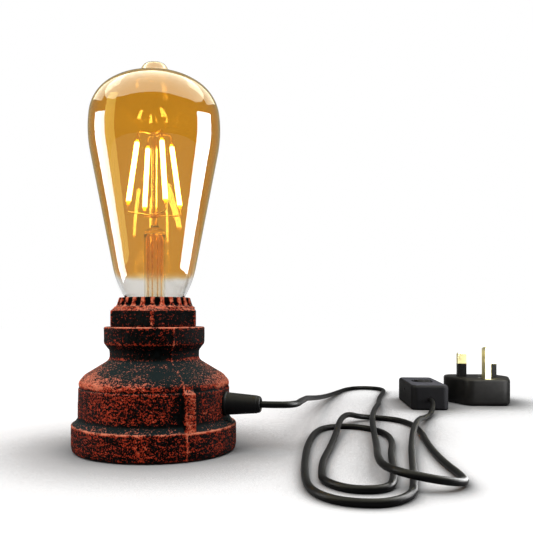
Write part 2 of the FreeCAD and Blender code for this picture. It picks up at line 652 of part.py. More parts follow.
def switch_posts():
    return [(side * SWITCH_POST[0], SWITCH_POST[1]) for side in (-1, 1)]


def switch_lower_shell():
    shell = soften(prism(switch_outline(), 0, SWITCH_SPLIT), 0.0, 1.5)
    hollow = prism(switch_outline(SWITCH_WALL), SWITCH_WALL, SWITCH_SPLIT + 1)
    posts, drills = [], []
    for at in switch_posts():
        posts.append(cylinder(SWITCH_POST_R, 1, SWITCH_SPLIT, at))
        drills.append(cylinder(1.3, -1, SWITCH_SPLIT + 1, at))
        drills.append(cylinder(2.4, -1, 1.6, at))
    return shell.cut(hollow).fuse(posts).cut(drills + cord_ways()).removeSplitter()


def switch_upper_shell():
    shell = soften(prism(switch_outline(), SWITCH_SPLIT, SWITCH_H), SWITCH_H, 2.0)
    hollow = prism(switch_outline(SWITCH_WALL), SWITCH_SPLIT - 1, SWITCH_H - SWITCH_WALL)
    window = obround(ROCKER_L + 2 * ROCKER_GAP, ROCKER_W + 2 * ROCKER_GAP, SWITCH_SPLIT, SWITCH_H + 1)
    wall = obround(ROCKER_L + 2 * ROCKER_GAP + 2.4, ROCKER_W + 2 * ROCKER_GAP + 2.4, PIVOT_Z - 3,
                   SWITCH_H - 1)
    posts = [cylinder(SWITCH_POST_R, SWITCH_SPLIT, SWITCH_H - 1, at) for at in switch_posts()]
    pilots = [cylinder(1.2, SWITCH_SPLIT - 1, SWITCH_H - 3.5, at) for at in switch_posts()]
    pin_way = Part.makeCylinder(PIVOT_R + 0.02, SWITCH_W, V(0, -SWITCH_W / 2 + 3.9, PIVOT_Z), V(0, 1, 0))
    carrier = shell.cut(hollow).fuse([wall] + posts)
    return carrier.cut([window, pin_way] + pilots + cord_ways()).removeSplitter()


def switch_rocker():
    """Paddle with two shallow faces; its ends follow an arc about the pivot. Tilted to its pressed pose."""
    reach = ROCKER_L / 2
    top = SWITCH_H - 0.2
    blank = obround(ROCKER_L, ROCKER_W, PIVOT_Z - 3.5, top + 3)
    sweep = Part.makeCylinder(hypot(reach, 2.0), 40, V(0, -20, PIVOT_Z), V(0, 1, 0))
    rise = reach * tan(radians(ROCKER_THROW))
    profile = [(-reach - 2, PIVOT_Z - 3.5, 0), (reach + 2, PIVOT_Z - 3.5, 0),
               (reach + 2, top + rise * 1.2, 0), (0, top - 0.2, 12.0), (-reach - 2, top + rise * 1.2, 0)]
    dish = Part.Face(stand_up(rounded_wire(profile))).extrude(V(0, 40, 0))
    dish.translate(V(0, -20, 0))
    bore = Part.makeCylinder(PIVOT_R + 0.05, 40, V(0, -20, PIVOT_Z), V(0, 1, 0))
    under = block(-reach + 2.2, reach - 2.2, -ROCKER_W / 2 + 1.6, ROCKER_W / 2 - 1.6, PIVOT_Z - 4,
                  PIVOT_Z - 1.9)
    paddle = blank.common(sweep).common(dish).cut([bore, under]).removeSplitter()
    paddle.rotate(V(0, 0, PIVOT_Z), V(0, 1, 0), ROCKER_THROW)
    return paddle


def switch_pivot_pin():
    half = ROCKER_W / 2 + 1.5
    return Part.makeCylinder(PIVOT_R, 2 * half, V(0, -half, PIVOT_Z), V(0, 1, 0))


def switch_contacts():
    """Two fixed contact strips on the floor of the lower shell, each with its terminal block."""
    solids = []
    for side in (-1, 1):
        near, far = SWITCH_TERMINAL
        strip = block(SWITCH_STRIP_START, far, -2.5, 2.5, SWITCH_WALL, SWITCH_WALL + 0.6)
        post = block(SWITCH_STRIP_START, SWITCH_STRIP_START + 3, -2.5, 2.5, SWITCH_WALL, SWITCH_WALL + 2.6)
        terminal = block(near, far, -3.0, 3.0, SWITCH_WALL, SWITCH_TERMINAL_TOP)
        screw_way = cylinder(1.05, SWITCH_WALL + 1.5, 20, ((near + far) / 2, 0))
        piece = strip.fuse([post, terminal]).cut(screw_way)
        if side < 0:
            piece.rotate(V(0, 0, 0), UP, 180)
        solids.append(piece.removeSplitter())
    return Part.makeCompound(solids)


def switch_terminal_screws():
    solids = []
    for side in (-1, 1):
        at = (side * sum(SWITCH_TERMINAL) / 2, 0)
        low = SWITCH_TERMINAL_TOP
        screw = cylinder(1.0, low - 2.2, low, at).fuse(cylinder(1.9, low, low + 1.2, at))
        solids.append(screw.removeSplitter())
    return Part.makeCompound(solids)


def switch_shell_screws():
    solids = []
    for at in switch_posts():
        shank = cylinder(1.15, 1.6, SWITCH_H - 4.0, at)
        head = cylinder(2.2, 0.5, 1.6, at)
        slot = block(at[0] - 3, at[0] + 3, at[1] - 0.3, at[1] + 0.3, -1, 0.9)
        solids.append(head.fuse(shank).cut(slot).removeSplitter())
    return Part.makeCompound(solids)


def switch_cord_tails():
    """The flex through both end walls, up to the end of its sheath."""
    return Part.makeCompound([rod(CORD_R, V(side * SWITCH_L / 2, 0, SWITCH_SPLIT),
                                  V(side * SHEATH_STOP, 0, SWITCH_SPLIT)) for side in (-1, 1)])


def switch_live_cores():
    """The switched core, from each sheath into its terminal."""
    solids = []
    for side in (-1, 1):
        end = SWITCH_TERMINAL[1]
        solids.append(tube([(side * SHEATH_STOP, CORE_Y, SWITCH_SPLIT),
                            (side * (SHEATH_STOP - 1.3), CORE_Y, SWITCH_SPLIT),
                            (side * (end + 1.6), 0, 4.4), (side * end, 0, 4.4)], WIRE_R))
    return Part.makeCompound(solids)


def switch_neutral_core():
    """The unswitched core, past the contacts from one sheath to the other."""
    half = [(SHEATH_STOP, -CORE_Y, SWITCH_SPLIT), (SHEATH_STOP - 1.6, -CORE_Y, SWITCH_SPLIT),
            (21.6, -4.6, 5.2), (16.5, -6.8, 3.6)]
    return tube(half + [(0, -7.4, 3.2)] + [(-x, y, z) for x, y, z in reversed(half)], WIRE_R)


# ---------------------------------------------------------------- plug, in its own frame
# X runs from the flex to the earth pin
def plug_outline(inset=0.0):
    low, high, wide = PLUG_LOW + inset, PLUG_HIGH - inset, PLUG_WIDE - inset
    return [(low, -13.0 + inset, 3.0), (LINE_V - 8.0, -wide, 7.0), (LINE_V + 1.0, -wide, 7.0),
            (high, -15.0 + inset, 6.0), (high, 15.0 - inset, 6.0), (LINE_V + 1.0, wide, 7.0),
            (LINE_V - 8.0, wide, 7.0), (low, 13.0 - inset, 3.0)]


def plug_cord_way():
    return Part.makeCylinder(CORD_R, 12, V(PLUG_LOW - BOSS_LEN - 1, 0, PLUG_CORD_Z), V(1, 0, 0))


def plug_cover():
    """Back shell that the plug lies on, with the sleeve for the flex."""
    shell = soften(prism(plug_outline(), 0, PLUG_SPLIT), 0.0, 3.0)
    hollow = prism(plug_outline(PLUG_WALL), PLUG_WALL, PLUG_SPLIT + 1)
    post = cylinder(3.2, 1, PLUG_SPLIT, (COVER_SCREW_V, 0))
    pilot = cylinder(1.5, PLUG_WALL, PLUG_SPLIT + 1, (COVER_SCREW_V, 0))
    sleeve = Part.makeCone(3.4, 4.1, BOSS_LEN, V(PLUG_LOW - BOSS_LEN, 0, PLUG_CORD_Z), V(1, 0, 0))
    return shell.cut(hollow).fuse([post, sleeve]).cut([pilot, plug_cord_way()]).removeSplitter()


def pin_body(size, v, u, z0, z1, slim=0.0):
    """Rectangular length of pin: size is (across, along, length), slim is what comes off each side."""
    across, along = size[0] / 2 - slim, size[1] / 2 - slim
    return block(v - along, v + along, u - across, u + across, z0, z1)


def plug_base():
    """Face that carries the pins, with countersunk wells for its screws."""
    body = soften(prism(plug_outline(), PLUG_SPLIT, PLUG_H), PLUG_H, 1.6)
    hollow = prism(plug_outline(PLUG_WALL), PLUG_SPLIT - 1, PLUG_H - FACE_T)
    ways = [pin_body(EARTH_PIN, EARTH_V, 0, PLUG_SPLIT, PLUG_H + 1)]
    ways += [pin_body(LINE_PIN, LINE_V, side * LINE_U, PLUG_SPLIT, PLUG_H + 1) for side in (-1, 1)]
    for v, u in SCREW_SPOTS:
        ways.append(cylinder(1.55, PLUG_SPLIT, PLUG_H + 1, (v, u)))
        ways.append(cylinder(2.9, PLUG_H - 1.6, PLUG_H + 1, (v, u)))
    return body.cut(hollow).cut(ways + [plug_cord_way()]).removeSplitter()


def plug_screw(v, u, low):
    head = cylinder(2.7, PLUG_H - 1.6, PLUG_H - 0.2, (v, u))
    shank = cylinder(1.45, low, PLUG_H - 1.6, (v, u))
    slot = block(v - 3, v + 3, u - 0.4, u + 0.4, PLUG_H - 0.9, PLUG_H)
    return head.fuse(shank).cut(slot).removeSplitter()


def plug_cover_screw():
    return plug_screw(*SCREW_SPOTS[0], low=PLUG_WALL + 0.8)


def plug_clamp_screws():
    return Part.makeCompound([plug_screw(v, u, low=CLAMP_Z) for v, u in SCREW_SPOTS[1:]])


def plug_cord_clamp():
    """Fibre bar that the two clamp screws pull down on the flex."""
    v, u = SCREW_SPOTS[1][0], SCREW_SPOTS[2][1]
    bar = block(v - 2.6, v + 2.6, -u - 3.2, u + 3.2, CLAMP_Z, CLAMP_Z + 1.8)
    return bar.cut([cylinder(1.5, CLAMP_Z - 1, CLAMP_Z + 3, spot) for spot in SCREW_SPOTS[1:]])


def chamfered_tip(solid, z, size):
    edges = [e for e in solid.Edges if all(abs(v.Z - z) < 1e-4 for v in e.Vertexes)]
    return solid.makeChamfer(size, edges)


def earth_pin():
    top = PLUG_H + EARTH_PIN[2]
    pin = chamfered_tip(pin_body(EARTH_PIN, EARTH_V, 0, PLUG_SPLIT + 1.0, top), top, 1.0)
    foot = block(EARTH_V - 4, EARTH_V + 3.6, -3.4, 3.4, PLUG_SPLIT + 1.0, PLUG_H - FACE_T)
    return pin.fuse(foot).removeSplitter()


def line_pin(side):
    """Live or neutral pin: full section at the tip and inside, slimmer under its sleeve."""
    top = PLUG_H + LINE_PIN[2]
    u = side * LINE_U
    tip = chamfered_tip(pin_body(LINE_PIN, LINE_V, u, PLUG_H + SLEEVE_LEN, top), top, 1.0)
    neck = pin_body(LINE_PIN, LINE_V, u, PLUG_H, PLUG_H + SLEEVE_LEN, SLEEVE_T)
    root = pin_body(LINE_PIN, LINE_V, u, PLUG_SPLIT + 1.0, PLUG_H)
    foot = block(LINE_V - 3.6, LINE_V + 3.6, u - 4.0, u + 4.0, PLUG_SPLIT + 1.0, PLUG_H - FACE_T)
    return tip.fuse([neck, root, foot]).removeSplitter()


def pin_sleeves():
    solids = []
    for side in (-1, 1):
        place = (LINE_PIN, LINE_V, side * LINE_U, PLUG_H, PLUG_H + SLEEVE_LEN)
        solids.append(pin_body(*place).cut(pin_body(*place, SLEEVE_T)))
    return Part.makeCompound(solids)


def plug_fuse():
    """Cartridge fuse between the line terminal and the live pin."""
    low = V(FUSE_V, FUSE_U, FUSE_Z)
    barrel = Part.makeCylinder(FUSE_R - 0.25, FUSE_L, low, V(1, 0, 0))
    caps = [Part.makeCylinder(FUSE_R, FUSE_CAP, low + V(step, 0, 0), V(1, 0, 0))
            for step in (0.0, FUSE_L - FUSE_CAP)]
    return barrel.fuse(caps).removeSplitter()


def plug_fuse_clips():
    """Brass clips: one under the live pin's foot, one that is the line terminal."""
    half = FUSE_R + 0.75
    solids = []
    for middle, top in ((FUSE_V + 3.5, PLUG_SPLIT + 1.0), (FUSE_V + FUSE_L - 3.2, PLUG_H - FACE_T)):
        clip = block(middle - 1.6, middle + 1.6, FUSE_U - half, FUSE_U + half, FUSE_Z - 1.0, top)
        seat = Part.makeCylinder(FUSE_R, 8, V(middle - 4, FUSE_U, FUSE_Z), V(1, 0, 0))
        solids.append(clip.cut(seat))
    return Part.makeCompound(solids)


def plug_wires():
    """Two cores from the clamped flex: one to the neutral pin, one to the fuse's line terminal."""
    start, turn = (SHEATH_LEFT, PLUG_CORD_Z), SHEATH_LEFT + 1.8
    neutral = [(start[0], -CORE_Y, start[1]), (turn, -CORE_Y, start[1]), (-8.4, -2.6, 9.4),
               (-5.2, -4.2, 11.2), (LINE_V, -5.4, 12.0), (LINE_V, 4.0 - LINE_U, 12.0)]
    terminal = FUSE_V + FUSE_L - 3.2
    line = [(start[0], CORE_Y, start[1]), (turn, CORE_Y, start[1]), (-8.0, 2.4, 8.8), (-3.0, 5.0, 9.6),
            (3.5, 5.4, 10.4), (9.5, 5.0, 11.4), (terminal, 5.4, 11.8),
            (terminal, FUSE_U - FUSE_R - 0.75, 11.8)]
    return Part.makeCompound([tube(neutral, WIRE_R), tube(line, WIRE_R)])


def plug_cord_tail():
    """The flex between the mouth of the plug's sleeve and the end of its sheath."""
    mouth = PLUG_LOW - BOSS_LEN
    return Part.makeCylinder(CORD_R, SHEATH_LEFT - mouth, V(mouth, 0, PLUG_CORD_Z), V(1, 0, 0))


# ---------------------------------------------------------------- the assembly
def build_all():
    direction = polar(PLUG_LOW - BOSS_LEN, PLUG_YAW)
    plug_at = (PLUG_ENTRY[0] - direction.x, PLUG_ENTRY[1] - direction.y)
    lamp = {
        "base_casting": base_casting, "base_plate": base_plate, "base_plate_screws": base_plate_screws,
        "base_pad": base_pad, "hex_collar": hex_collar, "fluted_crown": fluted_crown,
        "lampholder_body": lampholder_body, "lampholder_screw_shell": lampholder_screw_shell,
        "lampholder_centre_contact": lampholder_centre_contact, "lampholder_terminals": lampholder_terminals,
        "lampholder_terminal_screws": lampholder_terminal_screws,
        "live_wire": lambda: lamp_wire(1), "neutral_wire": lambda: lamp_wire(-1),
        "bulb_glass": bulb_glass, "bulb_cap_shell": bulb_cap_shell, "bulb_cap_insulator": bulb_cap_insulator,
        "bulb_tip_contact": bulb_tip_contact, "bulb_driver_board": bulb_driver_board, "bulb_stem": bulb_stem,
        "bulb_centre_rod": bulb_centre_rod, "filaments": filaments,
        "filament_top_supports": filament_top_supports, "filament_bottom_supports": filament_bottom_supports,
        "bulb_lead_wires": bulb_lead_wires,
        "cord_grip": cord_grip, "cord_grip_locknut": cord_grip_locknut, "cord_tail": cord_tail,
        "cord_lamp_to_switch": lambda: tube(LAMP_TO_SWITCH, CORD_R, "lamp to switch"),
        "cord_switch_to_plug": lambda: tube(SWITCH_TO_PLUG, CORD_R, "switch to plug"),
    }
    switch = {
        "switch_lower_shell": switch_lower_shell, "switch_upper_shell": switch_upper_shell,
        "switch_rocker": switch_rocker, "switch_pivot_pin": switch_pivot_pin,
        "switch_contacts": switch_contacts, "switch_terminal_screws": switch_terminal_screws,
        "switch_shell_screws": switch_shell_screws,
        "switch_cord_tails": switch_cord_tails, "switch_live_cores": switch_live_cores,
        "switch_neutral_core": switch_neutral_core,
    }
    plug = {
        "plug_cover": plug_cover, "plug_base": plug_base, "plug_cover_screw": plug_cover_screw,
        "plug_clamp_screws": plug_clamp_screws, "plug_cord_clamp": plug_cord_clamp, "earth_pin": earth_pin,
        "live_pin": lambda: line_pin(1), "neutral_pin": lambda: line_pin(-1), "pin_sleeves": pin_sleeves,
        "plug_fuse": plug_fuse, "plug_fuse_clips": plug_fuse_clips, "plug_wires": plug_wires,
        "plug_cord_tail": plug_cord_tail,
    }
    nodes = {name: make() for name, make in lamp.items()}
    nodes.update({name: placed(make(), SWITCH_AT, SWITCH_YAW) for name, make in switch.items()})
    nodes.update({name: placed(make(), plug_at, PLUG_YAW) for name, make in plug.items()})
    return nodes


os.makedirs("parts", exist_ok=True)
for node, shape in build_all().items():
    shape.exportStep(f"parts/{node}.step")
    solids = shape.Solids
    box = shape.BoundBox
    print(f"{node}: {len(solids)} solids, valid {shape.isValid()}, volume {shape.Volume:.0f} mm3, "
          f"z {box.ZMin:.2f} to {box.ZMax:.2f}")
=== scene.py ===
"""Looks of the pipe table lamp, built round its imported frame. Blender and the studio are in metres; the
pieces are in millimetres, in the frame's own axes: +Z up, -Y to the front, the flex leaves towards +X."""
import json
from bisect import bisect
from math import acos, atan2, cos, exp, hypot, pi, radians, sin, sqrt, tan

import bmesh
import bpy
from mathutils import Matrix, Vector, noise
from mathutils.geometry import tessellate_polygon


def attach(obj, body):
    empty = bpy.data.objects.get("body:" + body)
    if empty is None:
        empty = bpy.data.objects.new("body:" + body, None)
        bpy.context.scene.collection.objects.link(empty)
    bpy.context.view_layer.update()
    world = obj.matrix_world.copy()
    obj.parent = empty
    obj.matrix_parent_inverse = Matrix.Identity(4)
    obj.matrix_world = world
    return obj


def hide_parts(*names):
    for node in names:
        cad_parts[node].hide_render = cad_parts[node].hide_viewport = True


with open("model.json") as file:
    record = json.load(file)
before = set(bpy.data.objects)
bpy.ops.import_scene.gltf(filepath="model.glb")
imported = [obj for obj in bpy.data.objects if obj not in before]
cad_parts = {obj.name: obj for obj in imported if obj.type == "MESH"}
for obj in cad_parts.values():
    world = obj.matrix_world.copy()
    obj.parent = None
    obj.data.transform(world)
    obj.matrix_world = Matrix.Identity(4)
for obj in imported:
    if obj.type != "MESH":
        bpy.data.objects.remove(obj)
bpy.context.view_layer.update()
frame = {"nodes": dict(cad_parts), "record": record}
NODES = frame["nodes"]
MM = 0.001

# ---------------------------------------------------------------- sizes, in millimetres and degrees
# base casting
RING_R = 39.5
RIM_Z = 0.8
RING_TOP = 12.8
WALL_R = 36.2
WALL_BOTTOM = 16.2
SHOULDER_Z = 31.2
NECK_R = 21.5
BAND_R = 24.2
BAND_BOTTOM = 50.8
CAST_TOP = 58.9
MOUTH_R = 18.0
RECESS_R = 36.2
PLATE_TOP = 3.2
RIB_ANGLE = -65.9        # a second rib and a second parting line are opposite
RIB_OUT = 39.2
RIB_FOOT_Z = 10.8
RIB_BEND_Z = 29.6
RIB_SIDE = (2.15, 2.95)  # half the rib's width on top and at its foot
SEAM_ANGLE = -69.2
SEAM_H = 0.33
SEAM_HALF = 0.45
SPOT_X = 35.0            # milled flat under the cord grip
SPOT_R = 9.0
UNEVEN = ((8, 0.14), (2.6, 0.08), (1.1, 0.06))  # how wide and how high the casting's bumps are
# collar and crown
HEX_AF = 40.0
HEX_CORNER_ANGLE = -93.4
HEX_CRISP = 90           # the higher, the sharper the hexagon's corners
COLLAR_TOP = 67.9
COLLAR_MOUTH_R = 17.3
COLLAR_BORE = 15.7
THREADED_TO = CAST_TOP - 9
CROWN_TOP = 72.9
CROWN_BORE = 15.5
FLUTES = 24
FLUTE_R = 17.2
FLUTE_HALF = 1.2
FLUTE_FLOOR_R = 16.35
# bulb
BULB_AXIS_TOP = 186.5
GLASS_T = 0.8
AMBER_FROM = 82.6        # height at which the amber coating starts
CAP_R = 13.1
CAP_T = 0.35
CAP_BOTTOM = 49.5
CAP_TOP = 68.4
CAP_MOUTH_R = 11.8
THREAD_PITCH = 3.629
THREAD_DEPTH = 0.85
THREAD_START = (50.7, 52.5)
THREAD_SHALLOW = (58.8, 60.4)  # from here on the cap holds the glass
THREAD_END = (65.2, 66.6)
STEM_TOP = 108.5
FILAMENTS = 4
FILAMENT_TURN = -68.0
FILAMENT_FOOT = (13.6, 116.9)  # distance from the axis, and height
FILAMENT_HEAD = (8.8, 148.5)
LIT = (117.8, 148.2)           # heights between which the strips carry chips
LIT_FADE = 2.2
WIRE_SIDES = 10
SPOKE_R = 0.36
LEAD_R = 0.35
LEADS = ((-3.2, 0.4), (-1.1, -0.6), (1.4, 0.6), (3.2, -0.4))
LEAD_HEIGHTS = (61.2, 82, 103.8)
UPPER_SPOKE = ((2.2, 152.2), (5, 152.6), (8.0, 152.5), (8.6, 151.6))  # distance from the axis, and height
LOWER_SPOKE = ((1.6, 112.6), (7, 113.1), (13.2, 113.5), (14.0, 114.3))
# cord grip, on its own axis; the milled flat that it sits on is square to that axis
GRIP_ANGLE = -20.0
GRIP_Z = 22.6
GRIP_STUB = 27.6
GRIP_END = 52.6
# flex
CORD_D = 3.2
CORD_BORE = 1.65         # radius of the hole that the flex goes through
FLOOR_Z = CORD_D / 2
OVER_Z = 2 * CORD_D
# switch, in its own frame: X along it, origin under its middle
SWITCH_AT = (192.0, 139.0)
SWITCH_YAW = atan2(61.6, 13.2)
SWITCH_H = 17.0
ROCKER_L = 19.2
ROCKER_W = 12.8
ROCKER_BOTTOM = 7.6
ROCKER_SLOPE = 0.155
PIVOT_Z = 11.0
ROCKER_THROW = radians(8.0)
# plug, in its own frame: X from the flex to the earth pin, lying on its back
PLUG_ENTRY = (243.0, 176.0)
PLUG_YAW = atan2(-13.0, -2.0)
PLUG_MOUTH = -30.4
PLUG_CENTRE = (PLUG_ENTRY[0] - PLUG_MOUTH * cos(PLUG_YAW), PLUG_ENTRY[1] - PLUG_MOUTH * sin(PLUG_YAW))
PLUG_LOW = -23.4
PLUG_HIGH = 23.6
PLUG_H = 19.0
PLUG_SPLIT = 9.5
PLUG_CORD_Z = 8.0
PLUG_WALL = 2.2
SCREW_SPOTS = ((6.2, 0.0), (-15.3, -6.9), (-15.3, 6.9))
SLEEVE_R = 7.6
WELL_R = 2.9
WELL_DEPTH = 1.65
WELL_SIDES = 28

# centreline of the flex, point by point
LAMP_TO_SWITCH = [
    (49.428, -17.99, 22.6), (58.825, -21.41, 22.6), (67, -16, 22.2), (73, 3, 21.2), (80, 26, 19.2),
    (87, 52, 16.6), (96, 80, 13.2), (108, 112, 9.4),
    (122, 149, 5.6), (137, 184, 3), (151, 214, FLOOR_Z), (163, 233, FLOOR_Z), (176, 242, FLOOR_Z),
    (189, 237, FLOOR_Z), (192, 223, FLOOR_Z), (186, 205, FLOOR_Z), (175, 181, FLOOR_Z), (163, 150, FLOOR_Z),
    (152, 117, 4), (139, 84, OVER_Z), (127, 54, OVER_Z), (117, 24, OVER_Z), (108, -8, 3.4), (99, -38, 4.4),
    (91, -62, OVER_Z), (87, -80, OVER_Z), (91, -94, OVER_Z), (103, -100, 4.8), (115, -93, 2.2),
    (119, -79, FLOOR_Z), (122, -58, FLOOR_Z), (127, -35, FLOOR_Z), (133, -12, FLOOR_Z), (141, 13, FLOOR_Z),
    (147, 40, FLOOR_Z), (146, 59, FLOOR_Z), (137, 70, FLOOR_Z), (124, 69, 2.6), (113, 57, OVER_Z),
    (103, 38, OVER_Z), (94, 13, 3.2), (83, -17, FLOOR_Z), (72, -46, FLOOR_Z), (66, -68, FLOOR_Z),
    (63, -82, FLOOR_Z), (70, -96, FLOOR_Z), (84, -96, FLOOR_Z), (91, -82, FLOOR_Z), (98, -62, FLOOR_Z),
    (106, -36, FLOOR_Z), (117, -8, FLOOR_Z), (122, 15, FLOOR_Z), (119, 32, FLOOR_Z), (109, 43, FLOOR_Z),
    (95, 40, FLOOR_Z), (85, 24, FLOOR_Z), (74, -8, FLOOR_Z), (65, -42, FLOOR_Z), (58, -72, FLOOR_Z),
    (55, -95, FLOOR_Z), (61, -110, FLOOR_Z), (76, -115, FLOOR_Z), (89, -106, FLOOR_Z), (97, -87, FLOOR_Z),
    (107, -60, FLOOR_Z), (118, -30, 2.8), (132, 3, OVER_Z), (147, 33, OVER_Z), (161, 59, 2.8),
    (172, 77, FLOOR_Z), (179.5, 90, 4.4), (183.7, 100.4, 7), (185.4, 108.2, 7)]
SWITCH_TO_PLUG = [
    (198.6, 169.8, 7), (200.3, 177.6, 7), (202.5, 190, 4.2), (206, 206, FLOOR_Z), (213.5, 222, FLOOR_Z),
    (228, 231, FLOOR_Z), (242, 223, FLOOR_Z), (247.5, 207, FLOOR_Z), (246.5, 195.3, 5), (244.5, 185.8, 8),
    (243, 176, 8)]


# ---------------------------------------------------------------- outlines and meshes
def smoothstep(low, high, value):
    t = min(max((value - low) / (high - low), 0.0), 1.0)
    return t * t * (3 - 2 * t)


def corner_arc(corners, i):
    """Centre, first spoke and signed turn of the tangent arc that rounds a corner."""
    here, radius = Vector(corners[i][:2]), corners[i][2]
    back = (Vector(corners[i - 1][:2]) - here).normalized()
    ahead = (Vector(corners[(i + 1) % len(corners)][:2]) - here).normalized()
    half = acos(max(-1.0, min(1.0, back.dot(ahead)))) / 2
    centre = here + (back + ahead).normalized() * (radius / sin(half))
    first = here + back * (radius / tan(half)) - centre
    return centre, first, (pi - 2 * half) * (-1 if back.cross(ahead) > 0 else 1)


def arc_points(centre, first, turn, steps):
    """Both ends of an arc and the points between them, in equal steps."""
    points = []
    for k in range(steps + 1):
        a = turn * k / steps
        spoke = Vector((first.x * cos(a) - first.y * sin(a), first.x * sin(a) + first.y * cos(a)))
        points.append(centre + spoke)
    return points


def rounded(corners, closed, step):
    """Points along (x, y, rounding) corners, every corner as a tangent arc, runs split to about step."""
    points = []
    for i, (x, y, radius) in enumerate(corners):
        turns = radius > 1e-6 and (closed or 0 < i < len(corners) - 1)
        centre, first, turn = corner_arc(corners, i) if turns else (None, None, 0)
        if abs(turn) < 2e-4:
            points.append(Vector((x, y)))
            continue
        steps = max(2, int(abs(turn) * radius / step + 0.99), int(abs(turn) / 0.35 + 0.99))
        points += arc_points(centre, first, turn, steps)
    runs = []
    for a, b in zip(points, points[1:] + points[:1] if closed else points[1:]):
        length = (b - a).length
        if length > 1e-5:
            parts = max(1, round(length / step))
            runs += [a + (b - a) * k / parts for k in range(parts)]
    return runs if closed else runs + [points[-1]]


def outline(corners, steps):
    """Closed outline with the same steps in every corner, for lofting."""
    points = []
    for i in range(len(corners)):
        points += arc_points(*corner_arc(corners, i), steps)
    return points


def new_object(name, vertices, faces, sharp=None):
    """Mesh object from vertices in millimetres, smooth shaded, with edges over sharp degrees kept crisp."""
    mesh = bpy.data.meshes.new(name)
    mesh.from_pydata([Vector(v) * MM for v in vertices], [], faces)
    mesh.validate()
    mesh.shade_smooth()
    if sharp:
        mesh.set_sharp_from_angle(angle=radians(sharp))
    thing = bpy.data.objects.new(name, mesh)
    bpy.context.scene.collection.objects.link(thing)
    return thing


def standing_out(points, reach):
    """How far each point of an outline stands out from its neighbours: 1 on a sharp edge, -1 in a groove."""
    run = [0.0]
    for a, b in zip(points, points[1:]):
        run.append(run[-1] + (b - a).length)

    def at(distance):
        distance = min(max(distance, 0.0), run[-1])
        i = min(max(bisect(run, distance) - 1, 0), len(points) - 2)
        return points[i].lerp(points[i + 1], (distance - run[i]) / max(run[i + 1] - run[i], 1e-9))

    values = []
    for here, distance in zip(points, run):
        before, after = at(distance - reach), at(distance + reach)
        way = (after - before).normalized()
        values.append((here - (before + after) / 2).dot(Vector((way.y, -way.x))) / (0.7 * reach))
    return values


def revolve(name, rows, angles, move=None, sharp=None):
    """Closed skin of revolution through (radius, z, wear) rows. move(angle, *row) may change a point. The
    paint reads the wear, and other materials don't."""
    count = len(angles)
    vertices, wear, rings = [], [], []
    for r, z, w in rows:
        if r < 1e-6:
            rings.append([len(vertices)] * count)
            vertices.append((0, 0, z))
            wear.append(w)
            continue
        rings.append(list(range(len(vertices), len(vertices) + count)))
        for angle in angles:
            radius, height, worn = move(angle, r, z, w) if move else (r, z, w)
            vertices.append((radius * cos(angle), radius * sin(angle), height))
            wear.append(worn)
    faces = []
    for low, high in zip(rings, rings[1:] + rings[:1]):
        for k in range(count):
            n = (k + 1) % count
            corner = [low[k], low[n], high[n], high[k]]
            face = [v for i, v in enumerate(corner) if v not in corner[:i]]
            if len(face) > 2:
                faces.append(face)
    thing = new_object(name, vertices, faces, sharp)
    thing.data.attributes.new("wear", "FLOAT", "POINT").data.foreach_set("value", wear)
    return thing


def even(count):
    return [2 * pi * k / count for k in range(count)]


def lathe(name, corners, count, step=1.0, sharp=40):
    """Turned solid from closed (radius, z, rounding) corners."""
    rows = [(p.x, p.y, 0.0) for p in rounded(corners, True, step)]
    return revolve(name, rows, even(count), sharp=sharp)


def walls(count, loops, start=0):
    """Quads between loops of count points that follow one another in a list of vertices."""
    return [(a + k, a + (k + 1) % count, a + count + (k + 1) % count, a + count + k)
            for a in range(start, start + (loops - 1) * count, count) for k in range(count)]


def loft(name, loops, sharp=None):
    """Skin through loops of (x, y, z) points of equal count, closed at both ends."""
    count = len(loops[0])
    vertices = [p for loop in loops for p in loop]
    ends = [tuple(reversed(range(count))), tuple(range(len(vertices) - count, len(vertices)))]
    return new_object(name, vertices, walls(count, len(loops)) + ends, sharp)


def placed(thing, at, yaw):
    """Turns and moves the mesh itself from its own frame to its place; the object stays at the origin."""
    thing.data.transform(Matrix.Translation(Vector((at[0], at[1], 0)) * MM) @ Matrix.Rotation(yaw, 4, "Z"))
    return thing


def joined(name, things):
    """One object out of several meshes."""
    verts, faces, start = [], [], 0
    for thing in things:
        verts += [v.co / MM for v in thing.data.vertices]
        faces += [tuple(v + start for v in p.vertices) for p in thing.data.polygons]
        start = len(verts)
    for thing in things:
        bpy.data.objects.remove(thing)
    return new_object(name, verts, faces, 40)


def dress(thing, body, node, slot):
    """Gives a piece its body and the material of its slot, and hides the node that it stands for."""
    thing.data.materials.clear()
    thing.data.materials.append(SLOT_MATERIALS[slot])
    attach(thing, body)
    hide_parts(node)
    return thing


# ---------------------------------------------------------------- base
def near(angle, degrees):
    """Difference from an angle in degrees, as radians from -pi to pi."""
    return (angle - radians(degrees) + pi) % (2 * pi) - pi


def rib_reach(z):
    """Radius of the rib's outer edge at a height."""
    if z < RIB_BEND_Z:
        return RIB_OUT - 0.5 * (z - RIB_FOOT_Z) / (RIB_BEND_Z - RIB_FOOT_Z)
    return RIB_OUT - 0.5 - 1.8 * (z - RIB_BEND_Z)


def casting_angles():
    """Steps round the casting, finer at the ribs and at the milled flat."""
    angles, turn = [], 0.0
    while turn < 360:
        angles.append(radians(turn))
        ribs = min(abs(near(radians(turn), RIB_ANGLE)), abs(near(radians(turn), RIB_ANGLE + 180)))
        spot = abs(near(radians(turn), GRIP_ANGLE))
        turn += 0.35 if ribs < radians(9) else 0.6 if spot < radians(16) else 1.2
    return angles


# wear: the more, the more red shows; about 1 is bare red and -1 is black
# red along the top edges of the ring and the band: partly dry-brush wear, partly a painted highlight line
LIP_WEAR_AND_HIGHLIGHT = 0.55
RIB_WEAR = 0.62
SEAM_WEAR = 1.15


